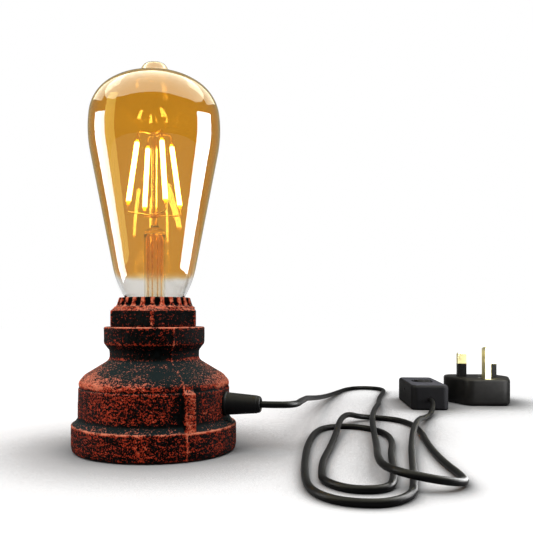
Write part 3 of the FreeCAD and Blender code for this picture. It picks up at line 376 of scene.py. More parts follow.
def dry_brushed(r, z):
    """Wear of the faces: plenty low on the shoulder, little on the neck and the band; the ring's foot is kept
    darker as painted shade.
    """
    if z < WALL_BOTTOM:
        # the foot of the ring, next to the table, is kept blacker as painted shade
        return -0.5 if z < RIM_Z + 2.2 else -0.7 if RING_TOP < z and r < RING_R - 1.5 else -0.2
    if z < SHOULDER_Z:
        return -0.1
    if z < 45.4:
        return -0.2 - 1.0 * smoothstep(32.5, 39.5, z) + 1.0 * exp(-((z - 43.9) / 0.7) ** 2)
    return -0.75 if z < BAND_BOTTOM - 0.6 or BAND_BOTTOM + 0.9 < z < CAST_TOP - 0.5 else -0.2


def casting_point(angle, r, z, wear):
    """Ribs, parting lines, milled flat and the unevenness of sand casting, with their wear; the shoulder's
    left and right get extra red, partly as painted highlight.
    """
    way = Vector((cos(angle), sin(angle), 0))
    if wear > 0.3:
        wear *= 0.9 + 1.6 * noise.noise(way * 9.0 + Vector((0, 0, z / 9)))
    if SHOULDER_Z < z < 45:
        patch = noise.noise(way * 2.6 + Vector((0, 0, z / 6)))
        # more red towards the shoulder's left and right: partly dry-brush, partly painted highlight where
        # those sides catch the light
        wear += 0.1 + 1.2 * way.x ** 2 - 0.1 * way.x + 0.9 * patch
    for turn in (0, 180):
        off = near(angle, RIB_ANGLE + turn)
        if abs(off) < 0.3 and RING_TOP - 2 < z < 33:
            reach = rib_reach(z) / cos(off)
            across = abs(r * sin(off))
            stand = 1 - smoothstep(*RIB_SIDE, across)
            if reach > r:
                r += (reach - r) * stand
                wear = wear * (1 - stand) + RIB_WEAR * stand
            if RING_TOP < z:
                # the wall to either side of the rib is made blacker
                beside = exp(-((max(across - 2.6, 0) / 3.0) ** 2))
                wear -= 1.3 * (1 - stand) * beside * smoothstep(13, 15, z)
        off = near(angle, SEAM_ANGLE + turn)
        if abs(off) < 0.2:
            line = exp(-((r * sin(off) / SEAM_HALF) ** 2))
            if not (RING_TOP + 1 < z < SHOULDER_Z):
                r += SEAM_H * line
                wear += (SEAM_WEAR + 1.6 * noise.noise(Vector((3.0, turn, z / 2.4)))) * line
    spot = Vector((r * cos(angle), r * sin(angle), z))
    r += sum(height * noise.noise(spot / width) for width, height in UNEVEN)
    off = near(angle, GRIP_ANGLE)
    if abs(off) < 0.5 and hypot(r * sin(off), z - GRIP_Z) < SPOT_R:
        flat = SPOT_X / cos(off)
        if flat < r:
            # the milled flat under the grip is made blacker where it is cut deeper
            wear -= 0.5 * smoothstep(0.8, 2.0, r - flat)
            r = flat
    return r, z, wear


def base_casting():
    outside = rounded([
        (RING_R - 0.6, RIM_Z, 0), (RING_R - 0.4, RIM_Z + 0.2, 0.5), (RING_R, RIM_Z + 2.6, 1.6),
        (RING_R, RING_TOP, 0.5), (RING_R - 1.3, RING_TOP + 0.35, 0.8),
        (WALL_R + 0.15, WALL_BOTTOM - 0.6, 1.6), (WALL_R, SHOULDER_Z - 1.6, 0.6),
        (WALL_R - 0.45, SHOULDER_Z - 1.0, 0.4), (WALL_R - 0.05, SHOULDER_Z + 1.3, 2.4),
        (33.3, 36.0, 6.0), (NECK_R - 0.1, 43.2, 3.4),
        (NECK_R, 47.6, 1.8), (BAND_R - 0.2, BAND_BOTTOM, 0.7), (BAND_R, BAND_BOTTOM + 1.1, 0.7),
        (BAND_R, CAST_TOP, 0.9), (MOUTH_R, CAST_TOP, 0)], False, 0.75)
    rows = []
    for p, wear in zip(outside, standing_out(outside, 1.1)):
        # the top edges of the ring and the band get extra red, partly wear and partly a painted highlight
        # line
        on_ring = p.x > RING_R - 0.9 and abs(p.y - RING_TOP) < 0.5
        on_band = p.x > BAND_R - 0.9 and p.y > CAST_TOP - 0.5
        lip = LIP_WEAR_AND_HIGHLIGHT if on_ring or on_band else 0.0
        rows.append((p.x, p.y, 1.3 * wear + dry_brushed(p.x, p.y) + lip))
    inner = WALL_R - 3.2
    inside = [(MOUTH_R, 44.4), (30.6, 31.8), (inner, 28.8), (inner, PLATE_TOP), (RECESS_R, PLATE_TOP),
              (RECESS_R, RIM_Z)]

    def point(angle, r, z, wear):
        return (r, z, wear) if (r, z) in inside else casting_point(angle, r, z, wear)

    rows += [(r, z, -1.0) for r, z in inside]
    return revolve("base_casting", rows, casting_angles(), point, 50)


# ---------------------------------------------------------------- collar and crown
def hex_collar():
    """Hexagon with softened corners and a bevel, and the bore that the holder sits in."""
    apothem = HEX_AF / 2
    corner = apothem / cos(pi / 6)
    heights = [CAST_TOP, CAST_TOP + 0.3, CAST_TOP + 0.7] + [CAST_TOP + 1.4 + 0.7 * k for k in range(7)]
    heights += [COLLAR_TOP - 2.6 + 0.2 * k for k in range(14)]

    def point(angle, r, z, wear):
        if r != corner:
            return r, z, wear
        sides = [cos(angle - radians(HEX_CORNER_ANGLE + 30 + 60 * k)) for k in range(6)]
        total = sum(max(0.0, side) ** HEX_CRISP for side in sides)
        flat = apothem / total ** (1 / HEX_CRISP) - 0.4 * smoothstep(0.5, 0.0, z - CAST_TOP)
        bevel = smoothstep(COLLAR_TOP - 1.7, COLLAR_TOP - 1.3, z)
        radius = flat - max(0.0, z - COLLAR_TOP + 1.5) * (0.5 + 0.75 * (flat - apothem) / (corner - apothem))
        edge = smoothstep(0.78, 0.97, (flat - apothem) / (corner - apothem - 0.18))
        spot = Vector((radius * cos(angle), radius * sin(angle), z))
        grain = noise.noise(spot / 2.2)
        foot = smoothstep(1.3, 0.2, z - CAST_TOP)
        # the facets that face left get more red
        left = smoothstep(0.2, -0.6, cos(angle - radians(HEX_CORNER_ANGLE + 90))) * (1 - edge)
        worn = max(-1.35 + 0.4 * left, 1.9 * bevel - 1.1, 1.8 * edge - 1.1, foot - 0.9)
        scratch = noise.noise(Vector((angle * 3.0, 0, z * 1.6)))
        return radius + 0.06 * grain, z, worn + 0.15 * grain + 0.9 * scratch * (1 - edge)

    rows = [(corner, z, 0.0) for z in heights]
    rows += [(18.9, COLLAR_TOP, 0.2), (COLLAR_MOUTH_R, COLLAR_TOP, -0.6),
             (COLLAR_MOUTH_R, COLLAR_TOP - 2, -1), (COLLAR_BORE, COLLAR_TOP - 2, -1),
             (COLLAR_BORE, THREADED_TO, -1), (MOUTH_R - 0.05, THREADED_TO, -1),
             (MOUTH_R - 0.05, CAST_TOP, -1)]
    return revolve("hex_collar", rows, even(360), point, 50)


def fluted_crown():
    """Ring with 24 U-shaped flutes that open at its top edge."""
    outside = rounded([(19.5, COLLAR_TOP, 0), (19.4, COLLAR_TOP + 0.45, 0.25), (18.4, COLLAR_TOP + 0.95, 0.8),
                       (17.7, COLLAR_TOP + 3.0, 0), (17.1, CROWN_TOP, 0.45), (CROWN_BORE, CROWN_TOP, 0.3),
                       (CROWN_BORE, COLLAR_TOP, 0)], False, 0.3)
    pitch = 2 * pi / FLUTES
    foot = COLLAR_TOP + 0.9 + FLUTE_HALF

    def point(angle, r, z, wear):
        if r <= CROWN_BORE + 0.6:
            return r, z, -0.6
        off = (angle - radians(HEX_CORNER_ANGLE)) % pitch - pitch / 2
        reach = hypot(FLUTE_R * off, min(z - foot, 0.0))
        cut = 1 - smoothstep(FLUTE_HALF - 0.35, FLUTE_HALF + 0.4, reach)
        depth = max(r - FLUTE_FLOOR_R, 0.0)
        grain = noise.noise(Vector((r * cos(angle), r * sin(angle), z)) / 1.6)
        worn = 0.9 + 0.8 * smoothstep(foot, CROWN_TOP, z) - 3.1 * cut + 1.3 * grain
        return r - depth * cut + 0.07 * grain, z, worn

    return revolve("fluted_crown", [(p.x, p.y, 0.0) for p in outside], even(FLUTES * 16), point, 60)


# ---------------------------------------------------------------- bulb
def glass_side():
    """Outside of the envelope, from the cap's mouth to the nipple at the top."""
    return rounded([(12.6, 60, 0), (12.6, 69.2, 3.0), (18.8, 81.7, 44.0), (32.45, 151.9, 60.0),
                    (30.3, 170.1, 19.2), (19.2, 177.6, 28.0), (8.0, 181.2, 2.4), (5.0, 186.2, 3.2),
                    (0, BULB_AXIS_TOP, 0)], False, 1.5)


def bulb_glass():
    """Envelope of even thickness."""
    side = glass_side()
    inner = []
    for i, p in enumerate(side):
        way = (side[min(i + 1, len(side) - 1)] - side[max(i - 1, 0)]).normalized()
        inner.append(Vector((max(p.x - GLASS_T * way.y, 0.0), p.y + GLASS_T * way.x)))
    inner[0] = Vector((side[0].x - GLASS_T, side[0].y))
    inner[-1] = Vector((0, BULB_AXIS_TOP - 1.4 * GLASS_T))
    rows = [(p.x, p.y, 0.0) for p in side + inner[::-1]]
    return revolve("bulb_glass", rows, even(144))


def bulb_stem():
    """Flared foot, tube and pinch, turned as one."""
    corners = [(11.6, 62.0, 0.2), (11.7, 62.9, 0.2), (6.7, 66.6, 4.0), (5.2, 74.0, 8.0), (5.2, 104.8, 1.6),
               (2.2, 107.0, 1.5), (1.5, STEM_TOP, 0), (0, STEM_TOP, 0), (0, 104.0, 0), (4.0, 103.7, 0.8),
               (4.4, 102.0, 1.0), (4.4, 74.0, 8.0), (5.9, 65.9, 4.0)]
    return lathe("bulb_stem", corners, 72, 1.5, 60)


def bulb_rod():
    """Rod on the stem, with the bead that carries the upper spokes."""
    corners = [(0, STEM_TOP, 0), (1.5, STEM_TOP, 0), (1.5, 150.8, 0.4), (2.3, 151.4, 0.5), (2.3, 152.9, 0.7),
               (0, 153.4, 0)]
    return lathe("bulb_centre_rod", corners, 32, 2.0, 60)


def filament_line(k):
    """Way out from the axis, lower end and upper end of a filament."""
    angle = radians(FILAMENT_TURN + 90 * k)
    out = Vector((cos(angle), sin(angle), 0))
    low, high = [Vector((r * out.x, r * out.y, z)) for r, z in (FILAMENT_FOOT, FILAMENT_HEAD)]
    return out, low, high


def filaments():
    """Four coated strips, each a rod with a thinner tab at both ends."""
    things = []
    for k in range(FILAMENTS):
        out, low, high = filament_line(k)
        length = (high - low).length
        corners = [(0, 0, 0), (0.7, 0, 0.2), (0.7, 1.2, 0), (1.15, 1.5, 0.3), (1.15, length - 1.5, 0.3),
                   (0.7, length - 1.2, 0), (0.7, length, 0.2), (0, length, 0)]
        thing = lathe("strip", corners, 16, 3.0)
        turn = (high - low).to_track_quat("Z", "Y").to_matrix().to_4x4()
        thing.data.transform(Matrix.Translation(low * MM) @ turn)
        things.append(thing)
    return joined("filaments", things)


def wires(name, runs, radius):
    """Round wires through lists of points."""
    things = []
    for run in runs:
        points = [Vector(p) for p in run]
        side, loops = None, []
        for i, p in enumerate(points):
            way = (points[min(i + 1, len(points) - 1)] - points[max(i - 1, 0)]).normalized()
            side = (side - way * side.dot(way) if side else way.orthogonal()).normalized()
            other = way.cross(side)
            loops.append([p + (side * cos(a) + other * sin(a)) * radius for a in even(WIRE_SIDES)])
        things.append(loft("wire", loops))
    return joined(name, things)


def spokes():
    """Wires that hold the filaments: bent spokes at the bead, and spokes on a ring round the rod."""
    top, bottom = [], []
    for k in range(FILAMENTS):
        out, low, high = filament_line(k)
        top.append([out * r + Vector((0, 0, z)) for r, z in UPPER_SPOKE] + [high])
        bottom.append([out * r + Vector((0, 0, z)) for r, z in LOWER_SPOKE] + [low])
    upper = wires("filament_top_supports", top, SPOKE_R)
    lower = wires("bottom_spokes", bottom, SPOKE_R)
    ring = lathe("bottom_ring", [(1.5, 111.6, 0), (2.1, 111.6, 0.2), (2.1, 113.6, 0.2), (1.5, 113.6, 0)], 32)
    return upper, joined("filament_bottom_supports", [lower, ring])


def lead_wires():
    return wires("bulb_lead_wires", [[(x, y, z) for z in LEAD_HEIGHTS] for x, y in LEADS], LEAD_R)


def bulb_cap():
    """Cap shell with its rolled E27 thread, right-handed; the thread is shallow where it holds the glass."""
    inner = CAP_R - CAP_T
    heights = [CAP_BOTTOM + 1.2 + 0.23 * k for k in range(71)]
    rows = [(CAP_MOUTH_R, CAP_BOTTOM - 1.0, 0), (CAP_R - 1.1, CAP_BOTTOM - 1.0, 0)]
    rows += [(CAP_R, z, 0) for z in heights]
    rows += [(CAP_R + 0.35, CAP_TOP - 1.0, 0), (CAP_R + 0.35, CAP_TOP, 0), (inner, CAP_TOP, 0)]
    rows += [(inner, z, 0) for z in reversed(heights)] + [(CAP_MOUTH_R, CAP_BOTTOM, 0)]

    def point(angle, r, z, wear):
        if r not in (CAP_R, inner):
            return r, z, wear
        depth = THREAD_DEPTH * smoothstep(*THREAD_START, z) * (1 - 0.65 * smoothstep(*THREAD_SHALLOW, z))
        wave = 0.5 - 0.5 * cos(2 * pi * z / THREAD_PITCH - angle)
        return r - depth * wave * (1 - smoothstep(*THREAD_END, z)), z, wear

    return revolve("bulb_cap_shell", rows, even(96), point, 50)


# ---------------------------------------------------------------- cord grip
def cord_grip():
    """Collar on the milled flat, tapered body and rounded tip, turned about the grip's own axis."""
    corners = [(CORD_BORE, GRIP_STUB, 0), (4.5, GRIP_STUB, 0.3), (4.5, SPOT_X, 0), (5.75, SPOT_X, 0.25),
               (5.8, SPOT_X + 1.3, 0.35), (5.35, SPOT_X + 1.5, 0.2), (4.2, GRIP_END - 1.9, 0.25),
               (4.02, GRIP_END - 1.75, 0.1), (3.9, GRIP_END - 0.3, 1.3), (3.0, GRIP_END, 0.3),
               (2.6, GRIP_END - 1.2, 0), (CORD_BORE, GRIP_END - 1.2, 0)]
    thing = lathe("cord_grip", corners, 72, 0.8, 45)
    turn = Matrix.Rotation(radians(GRIP_ANGLE), 4, "Z") @ Matrix.Rotation(pi / 2, 4, "Y")
    thing.data.transform(Matrix.Translation((0, 0, GRIP_Z * MM)) @ turn)
    return thing


# ---------------------------------------------------------------- switch rocker
def rocker():
    """Paddle with a raised rim round a shallow dish, pressed at its plug-side end."""
    reach = hypot(ROCKER_L / 2, 2.0)

    def loop(inset, drop):
        """Rounded end to end, its ends on a circle about the pin, so that they pass the window as it tips."""
        radius = ROCKER_W / 2 - inset
        half = ROCKER_L / 2 - inset
        points = []
        for p in outline([(-half, -radius, radius), (half, -radius, radius), (half, radius, radius),
                          (-half, radius, radius)], 10):
            top = SWITCH_H - 0.4 + ROCKER_SLOPE * sqrt(p.x * p.x + 2.0)
            z = ROCKER_BOTTOM if drop is None else top - drop
            limit = sqrt(reach ** 2 - (z - PIVOT_Z) ** 2) - inset
            points.append((min(max(p.x, -limit), limit), p.y, z))
        return points

    steps = [(0, None), (0, 3.0), (0, 1.6), (0, 0.6), (0.12, 0.2), (0.45, 0.0), (0.95, 0.0), (1.25, 0.12),
             (1.6, 0.45), (2.2, 0.72), (3.2, 0.85), (4.4, 0.92), (5.6, 0.95)]
    thing = loft("switch_rocker", [loop(*step) for step in steps], 60)
    tilt = Matrix.Rotation(ROCKER_THROW, 4, "Y")
    pivot = Matrix.Translation((0, 0, PIVOT_Z * MM))
    thing.data.transform(pivot @ tilt @ pivot.inverted())
    return placed(thing, SWITCH_AT, SWITCH_YAW)


# ---------------------------------------------------------------- plug
def plug_loop(inset, z):
    """The plug's outline at a height, drawn in by an inset."""
    corners = [(PLUG_LOW, -19.4, 9.5), (-5.0, -24.2, 14.0), (PLUG_HIGH, -15.0, 7.5), (PLUG_HIGH, 15.0, 7.5),
               (-5.0, 24.2, 14.0), (PLUG_LOW, 19.4, 9.5)]
    whole = outline(corners, 8)
    count = len(whole)
    points = []
    for i, p in enumerate(whole):
        way = (whole[(i + 1) % count] - whole[i - 1]).normalized()
        points.append(Vector((p.x - way.y * inset, p.y + way.x * inset, z)))
    return points


def rounded_rim(radius, z, side):
    """Insets and heights of a quarter round that ends in a flat face at z."""
    quarter = [radians(18 * k) for k in range(6)]
    return [(radius * (1 - cos(a)), z - side * radius * (1 - sin(a))) for a in quarter]


def plug_cover():
    """Back shell that the plug lies on, with the flared sleeve for the flex."""
    levels = rounded_rim(3.0, 0.0, -1)[::-1]
    levels += [(0, PLUG_SPLIT), (PLUG_WALL, PLUG_SPLIT), (PLUG_WALL, PLUG_WALL)]
    shell = loft("shell", [plug_loop(*level) for level in levels])
    root = PLUG_LOW + 0.9
    corners = [(CORD_BORE, PLUG_MOUTH, 0), (3.3, PLUG_MOUTH, 0.5), (3.6, -28.0, 3.0), (4.5, -25.6, 3.0),
               (SLEEVE_R, -23.6, 0.8), (SLEEVE_R, root, 0), (CORD_BORE, root, 0)]
    sleeve = lathe("sleeve", corners, 40, 0.8)
    sleeve.data.transform(Matrix.Translation((0, 0, PLUG_CORD_Z * MM)) @ Matrix.Rotation(pi / 2, 4, "Y"))
    return joined("plug_cover", [shell, sleeve])


def plug_face():
    """Face of the plug with countersunk wells for its three screws."""
    levels = [(PLUG_WALL, PLUG_H - 4), (PLUG_WALL, PLUG_SPLIT), (0, PLUG_SPLIT)] + rounded_rim(1.6, PLUG_H, 1)
    loops = [plug_loop(*level) for level in levels]
    count = len(loops[0])
    vertices = [v for loop in loops for v in loop]
    faces = [tuple(range(count))] + walls(count, len(loops))
    rims, index = [loops[-1]], list(range(len(vertices) - count, len(vertices)))
    for x, y in SCREW_SPOTS:
        rim = [Vector((x + WELL_R * cos(a), y + WELL_R * sin(a), PLUG_H)) for a in even(WELL_SIDES)]
        start = len(vertices)
        vertices += rim + [p - Vector((0, 0, WELL_DEPTH)) for p in rim]
        faces += walls(WELL_SIDES, 2, start) + [tuple(range(start + WELL_SIDES, len(vertices)))]
        rims.append(rim)
        index += range(start, start + WELL_SIDES)
    faces += [tuple(index[i] for i in face) for face in tessellate_polygon(rims)]
    thing = new_object("plug_base", vertices, faces)
    whole = bmesh.new()
    whole.from_mesh(thing.data)
    bmesh.ops.recalc_face_normals(whole, faces=whole.faces)
    whole.to_mesh(thing.data)
    whole.free()
    thing.data.set_sharp_from_angle(angle=radians(40))
    return thing


# ---------------------------------------------------------------- materials
class Shader:
    """Short way to write the node tree of a material or of the world."""

    def __init__(self, name, world=False):
        self.owner = (bpy.data.worlds if world else bpy.data.materials).new(name)
        self.owner.use_nodes = True
        self.tree = self.owner.node_tree
        self.tree.nodes.clear()
        self.out = self.add("OutputWorld" if world else "OutputMaterial")

    def add(self, kind, inputs=None, **settings):
        node = self.tree.nodes.new("ShaderNode" + kind)
        for key, value in settings.items():
            setattr(node, key, value)
        for key, value in (inputs or {}).items():
            self.put(node.inputs[key], value)
        return node

    def put(self, socket, value):
        if isinstance(value, bpy.types.Node):
            value = value.outputs[0]
        if isinstance(value, bpy.types.NodeSocket):
            self.tree.links.new(value, socket)
        else:
            socket.default_value = value

    def math(self, operation, a, b=0.0):
        return self.add("Math", {0: a, 1: b}, operation=operation).outputs[0]

    def times(self, a, b):
        return self.math("MULTIPLY", a, b)

    def centred(self, value, factor):
        """A noise that runs from 0 to 1, moved to the middle and scaled."""
        return self.times(self.math("SUBTRACT", value, 0.5), factor)

    def coords(self):
        return self.add("TexCoord").outputs["Object"]

    def height(self):
        return self.add("SeparateXYZ", {"Vector": self.coords()}).outputs[2]

    def facing_up(self, low, high):
        """0 to 1 as the surface turns up, by the object's own normal."""
        normal = self.add("SeparateXYZ", {"Vector": self.add("TexCoord").outputs["Normal"]})
        return self.step(normal.outputs[2], low, high)

    def noise(self, scale, detail=2.0, rough=0.5, distortion=0.0, vector=None):
        node = self.add("TexNoise", {"Scale": scale, "Detail": detail, "Roughness": rough,
                                     "Distortion": distortion, "Vector": vector or self.coords()})
        return node.outputs["Fac"]

    def step(self, value, low, high, start=0.0, end=1.0):
        return self.add("MapRange", {"Value": value, "From Min": low, "From Max": high, "To Min": start,
                                     "To Max": end}, interpolation_type="SMOOTHSTEP").outputs[0]

    def mix(self, factor, a, b):
        return self.add("Mix", {"Factor": factor, 6: a, 7: b}, data_type="RGBA").outputs[2]

    def bump(self, height, distance, strength=1.0):
        return self.add("Bump", {"Height": height, "Distance": distance, "Strength": strength}).outputs[0]

    def principled(self, **inputs):
        names = {"color": "Base Color", "rough": "Roughness", "metal": "Metallic", "normal": "Normal",
                 "ior": "IOR", "transmission": "Transmission Weight", "specular": "Specular IOR Level",
                 "emission": "Emission Color", "strength": "Emission Strength", "coat": "Coat Weight",
                 "coat_rough": "Coat Roughness"}
        node = self.add("BsdfPrincipled", {names[key]: value for key, value in inputs.items()})
        self.put(self.out.inputs["Surface"], node)
        return node


def rgb(red, green, blue):
    """Linear colour from 0 to 255 screen values."""
    def linear(c):
        c /= 255
        return c / 12.92 if c <= 0.04045 else ((c + 0.055) / 1.055) ** 2.4
    return (linear(red), linear(green), linear(blue), 1.0)


# paint: scale of each of its noises, and what moves its border between red and black
GRAIN, STREAKS, PATCHES, TONES, PITS = 1350, 330, 110, 620, 1500
BY_STREAKS, BY_PATCHES, BY_WEAR = 0.42, 0.24, 0.11
BORDER = (0.52, 0.56)


def antique_casting():
    """Rough cast iron in black, dry-brushed with brick red: red stays on edges and on the high grain; faces
    that turn up get a painted sheen.
    """
    s = Shader("antique_casting")
    x, y, z = s.add("SeparateXYZ", {"Vector": s.coords()}).outputs
    angle = s.math("ARCTAN2", y, x)
    radius = s.math("SQRT", s.math("ADD", s.times(x, x), s.times(y, y)))
    round_the_axis = s.add("CombineXYZ", {"X": s.times(angle, 0.036), "Y": s.times(z, 3.6),
                                          "Z": s.times(radius, 1.5)})
    grain = s.noise(GRAIN, 1.8, 0.6, 0.5)
    streaks = s.noise(STREAKS, 3.0, 0.65, 0.2, round_the_axis.outputs[0])
    patches = s.noise(PATCHES, 3.0, 0.6)
    wear = s.add("Attribute", attribute_name="wear").outputs["Fac"]
    cover = s.math("ADD", s.centred(streaks, BY_STREAKS), s.centred(patches, BY_PATCHES))
    cover = s.math("ADD", cover, s.times(wear, BY_WEAR))
    red = s.step(s.math("ADD", grain, cover), *BORDER)
    tone = s.math("ADD", cover, s.centred(s.noise(TONES, 3.0, 0.6), 0.5))
    upward = s.facing_up(0.3, 0.75)
    dark, brick, rubbed, sheen_from_above = rgb(62, 14, 9), rgb(182, 60, 36), rgb(226, 124, 92), rgb(206, 138, 112)
    paint = s.mix(s.step(tone, -0.16, 0.05), dark, brick)
    paint = s.mix(s.step(tone, 0.05, 0.2), paint, rubbed)
    # faces that turn up are lightened towards pale salmon: a painted sheen from the light above
    paint = s.mix(s.times(upward, 0.5), paint, sheen_from_above)
    black = s.mix(s.step(s.noise(600, 2.0), 0.4, 0.7), rgb(4, 5, 5), rgb(13, 17, 18))
    # black faces that turn up get a teal-grey lift: a painted sheen from the light above
    black = s.mix(upward, black, rgb(22, 32, 34))
    height = s.math("ADD", s.times(red, 0.55), s.times(s.noise(PITS, 3.0, 0.6), 0.6))
    s.principled(color=s.mix(red, black, paint), rough=s.step(red, 0.0, 1.0, 0.7, 0.8), specular=0.012,
                 normal=s.bump(height, 0.00012, 0.9))
    return s.owner


GLASS_IOR = 1.47


def glass(s, tint, rough, specular=0.5):
    """Glass that light crosses without being bent, so that it doesn't shade what is inside or under it."""
    bending = s.principled(color=tint, rough=rough, ior=GLASS_IOR, transmission=1.0, specular=specular)
    ray = s.add("LightPath").outputs
    passing = s.math("MAXIMUM", ray["Is Shadow Ray"], ray["Is Diffuse Ray"])
    mixed = s.add("MixShader", {0: passing, 1: bending, 2: s.add("BsdfTransparent", {"Color": tint})})
    s.put(s.out.inputs["Surface"], mixed)
    return s.owner


def amber_glass():
    """Clear soda glass with an amber coating that starts above the neck; both darken towards the outline as
    painted shade, the coating also for its longer path.
    """
    s = Shader("amber_glass")
    edge = s.math("ADD", s.height(), s.centred(s.noise(120, 2.0), 0.002))
    amber = s.step(edge, (AMBER_FROM - 1.6) * MM, (AMBER_FROM + 2.2) * MM)
    # darker towards the outline: on the coating partly for its longer path, and on coating and bare neck
    # alike as painted shade
    oblique = s.math("POWER", s.add("LayerWeight", {"Blend": 0.5}).outputs["Facing"], 2.4)
    coated = s.mix(oblique, rgb(222, 183, 92), rgb(158, 112, 34))
    bare = s.mix(oblique, rgb(234, 233, 231), rgb(150, 151, 151))
    return glass(s, s.mix(amber, bare, coated), 0.0, 1.0)


def clear_glass():
    s = Shader("clear_glass")
    return glass(s, s.mix(s.step(s.height(), 0.07, 0.1), rgb(248, 242, 228), rgb(250, 232, 190)), 0.02)


GLOW = (4.0, 70.0)       # strength of the bare ends and of the lit strip


def filament_light():
    """Phosphor-coated strips, lit; the ends carry no chips and glow a deeper yellow."""
    s = Shader("filament")
    z = s.height()
    low = s.step(z, LIT[0] * MM, (LIT[0] + LIT_FADE) * MM)
    high = s.step(z, (LIT[1] - LIT_FADE) * MM, LIT[1] * MM, 1.0, 0.0)
    lit = s.times(low, high)
    ripple = s.step(s.noise(900, 1.0), 0.3, 0.7, 0.85, 1.0)
    colour = s.mix(lit, rgb(255, 178, 12), rgb(255, 244, 214))
    s.principled(color=rgb(250, 200, 70), rough=0.6, emission=colour,
                 strength=s.times(s.step(lit, 0.0, 1.0, *GLOW), ripple))
    return s.owner


def plastic(name, colour, lighter, rough, grain, depth, sides=None):
    """Moulded plastic with a fine spark-eroded grain; sides is a painted shade colour for faces that don't
    face up.
    """
    s = Shader(name)
    fine = s.noise(grain, 2.0, 0.6)
    colour = s.mix(s.step(s.noise(60, 3.0), 0.35, 0.7), colour, lighter)
    if sides:
        # faces that don't face up take the sides colour: a painted shade
        colour = s.mix(s.facing_up(0.88, 0.98), sides, colour)
    s.principled(color=colour, rough=s.step(fine, 0.3, 0.7, rough - 0.05, rough + 0.07),
                 normal=s.bump(fine, depth, 0.6), specular=0.06)
    return s.owner


def metal(name, colour, darker, rough, stained=0.7):
    s = Shader(name)
    fine = s.noise(900, 3.0, 0.6)
    stain = s.times(s.step(s.noise(170, 3.0, 0.6), 0.4, 0.75), stained)
    s.principled(color=s.mix(stain, colour, darker), metal=1.0, normal=s.bump(fine, 0.00001, 0.5),
                 rough=s.step(fine, 0.25, 0.75, rough - 0.08, rough + 0.12))
    return s.owner


def ceramic(name, colour, darker, rough, glaze=0.6):
    s = Shader(name)
    s.principled(color=s.mix(s.step(s.noise(140, 3.0), 0.4, 0.7), colour, darker), rough=rough, coat=glaze,
                 coat_rough=0.06, normal=s.bump(s.noise(350, 2.0), 0.00003, 0.4))
    return s.owner


def circuit_board():
    s = Shader("circuit_board")
    cells = s.add("TexVoronoi", {"Scale": 520.0, "Vector": s.coords()}, feature="DISTANCE_TO_EDGE")
    track = s.step(cells.outputs["Distance"], 0.05, 0.09)
    s.principled(color=s.mix(track, rgb(150, 120, 50), rgb(20, 74, 42)), rough=0.4)
    return s.owner


def foam_pad():
    s = Shader("foam_pad")
    cells = s.add("TexVoronoi", {"Scale": 1300.0, "Vector": s.coords()})
    s.principled(color=s.mix(s.noise(200, 2.0), rgb(16, 16, 16), rgb(30, 30, 30)), rough=0.95,
                 normal=s.bump(cells.outputs["Distance"], 0.0002))
    return s.owner


def white_floor():
    """Pale table that keeps the object's shadow; far from it, where the lamps don't reach, it shows white."""
    s = Shader("white_floor")
    ray = s.add("LightPath").outputs
    seen = s.math("MAXIMUM", ray["Is Camera Ray"], ray["Is Transmission Ray"])
    seen = s.math("MAXIMUM", seen, s.times(ray["Is Glossy Ray"], 0.5))
    away = s.add("VectorMath", {0: s.coords()}, operation="LENGTH").outputs["Value"]
    open_sky = s.add("AmbientOcclusion", {"Distance": SHADOW_REACH}, samples=8).outputs["AO"]
    lift = s.times(s.step(away, 0.12, 0.7, FLOOR_LIFT, 1.0), s.math("POWER", open_sky, SHADOW_DEPTH))
    s.principled(color=rgb(160, 160, 160), rough=1.0, specular=0.0, emission=(1, 1, 1, 1),
                 strength=s.times(seen, lift))
    return s.owner


# ---------------------------------------------------------------- camera, light and table
CAMERA_AT = (0.0, -0.33266, 0.064)
CAMERA_TURN = radians(-7.2536)
CAMERA_LENS = 45.93
CAMERA_SHIFT = (0.0474, 0.0929)
FLOOR_LIFT = 0.74        # what the table shows of its own white near the lamp
SHADOW_REACH = 0.078     # how far from a piece the table darkens
SHADOW_DEPTH = 8.5
CREAM = (1.0, 0.98, 0.76)


def camera():
    data = bpy.data.cameras.new("camera")
    data.sensor_width = 36.0
    data.lens = CAMERA_LENS
    data.shift_x, data.shift_y = CAMERA_SHIFT
    data.clip_start = 0.01
    thing = bpy.data.objects.new("camera", data)
    thing.location = CAMERA_AT
    thing.rotation_euler = (pi / 2, 0, CAMERA_TURN)
    bpy.context.scene.collection.objects.link(thing)
    bpy.context.scene.camera = thing


def softbox(name, at, aim, size, radiance, colour=(1, 1, 1), shape="RECTANGLE", mirrored=True):
    """Flat lamp; radiance is how bright its face is, where 1 is white. A mirrored one only shows in
    reflections, and the others only light matt surfaces."""
    data = bpy.data.lights.new(name, "AREA")
    data.shape = shape
    data.color = colour
    data.size, data.size_y = size
    data.energy = radiance * pi * size[0] * size[1]
    thing = bpy.data.objects.new(name, data)
    thing.location = at
    thing.rotation_euler = (Vector(aim) - Vector(at)).to_track_quat("-Z", "Y").to_euler()
    thing.visible_camera = False
    thing.visible_transmission = False
    thing.visible_glossy = mirrored
    thing.visible_diffuse = not mirrored
    bpy.context.scene.collection.objects.link(thing)


def screen(name, degrees, distance, height, size, radiance, colour=(1, 1, 1)):
    """Upright softbox at an angle about the lamp, counted clockwise from the front, seen from above."""
    a = radians(-90 - degrees)
    softbox(name, (distance * cos(a), distance * sin(a), height), (0, 0, height), size, radiance, colour)


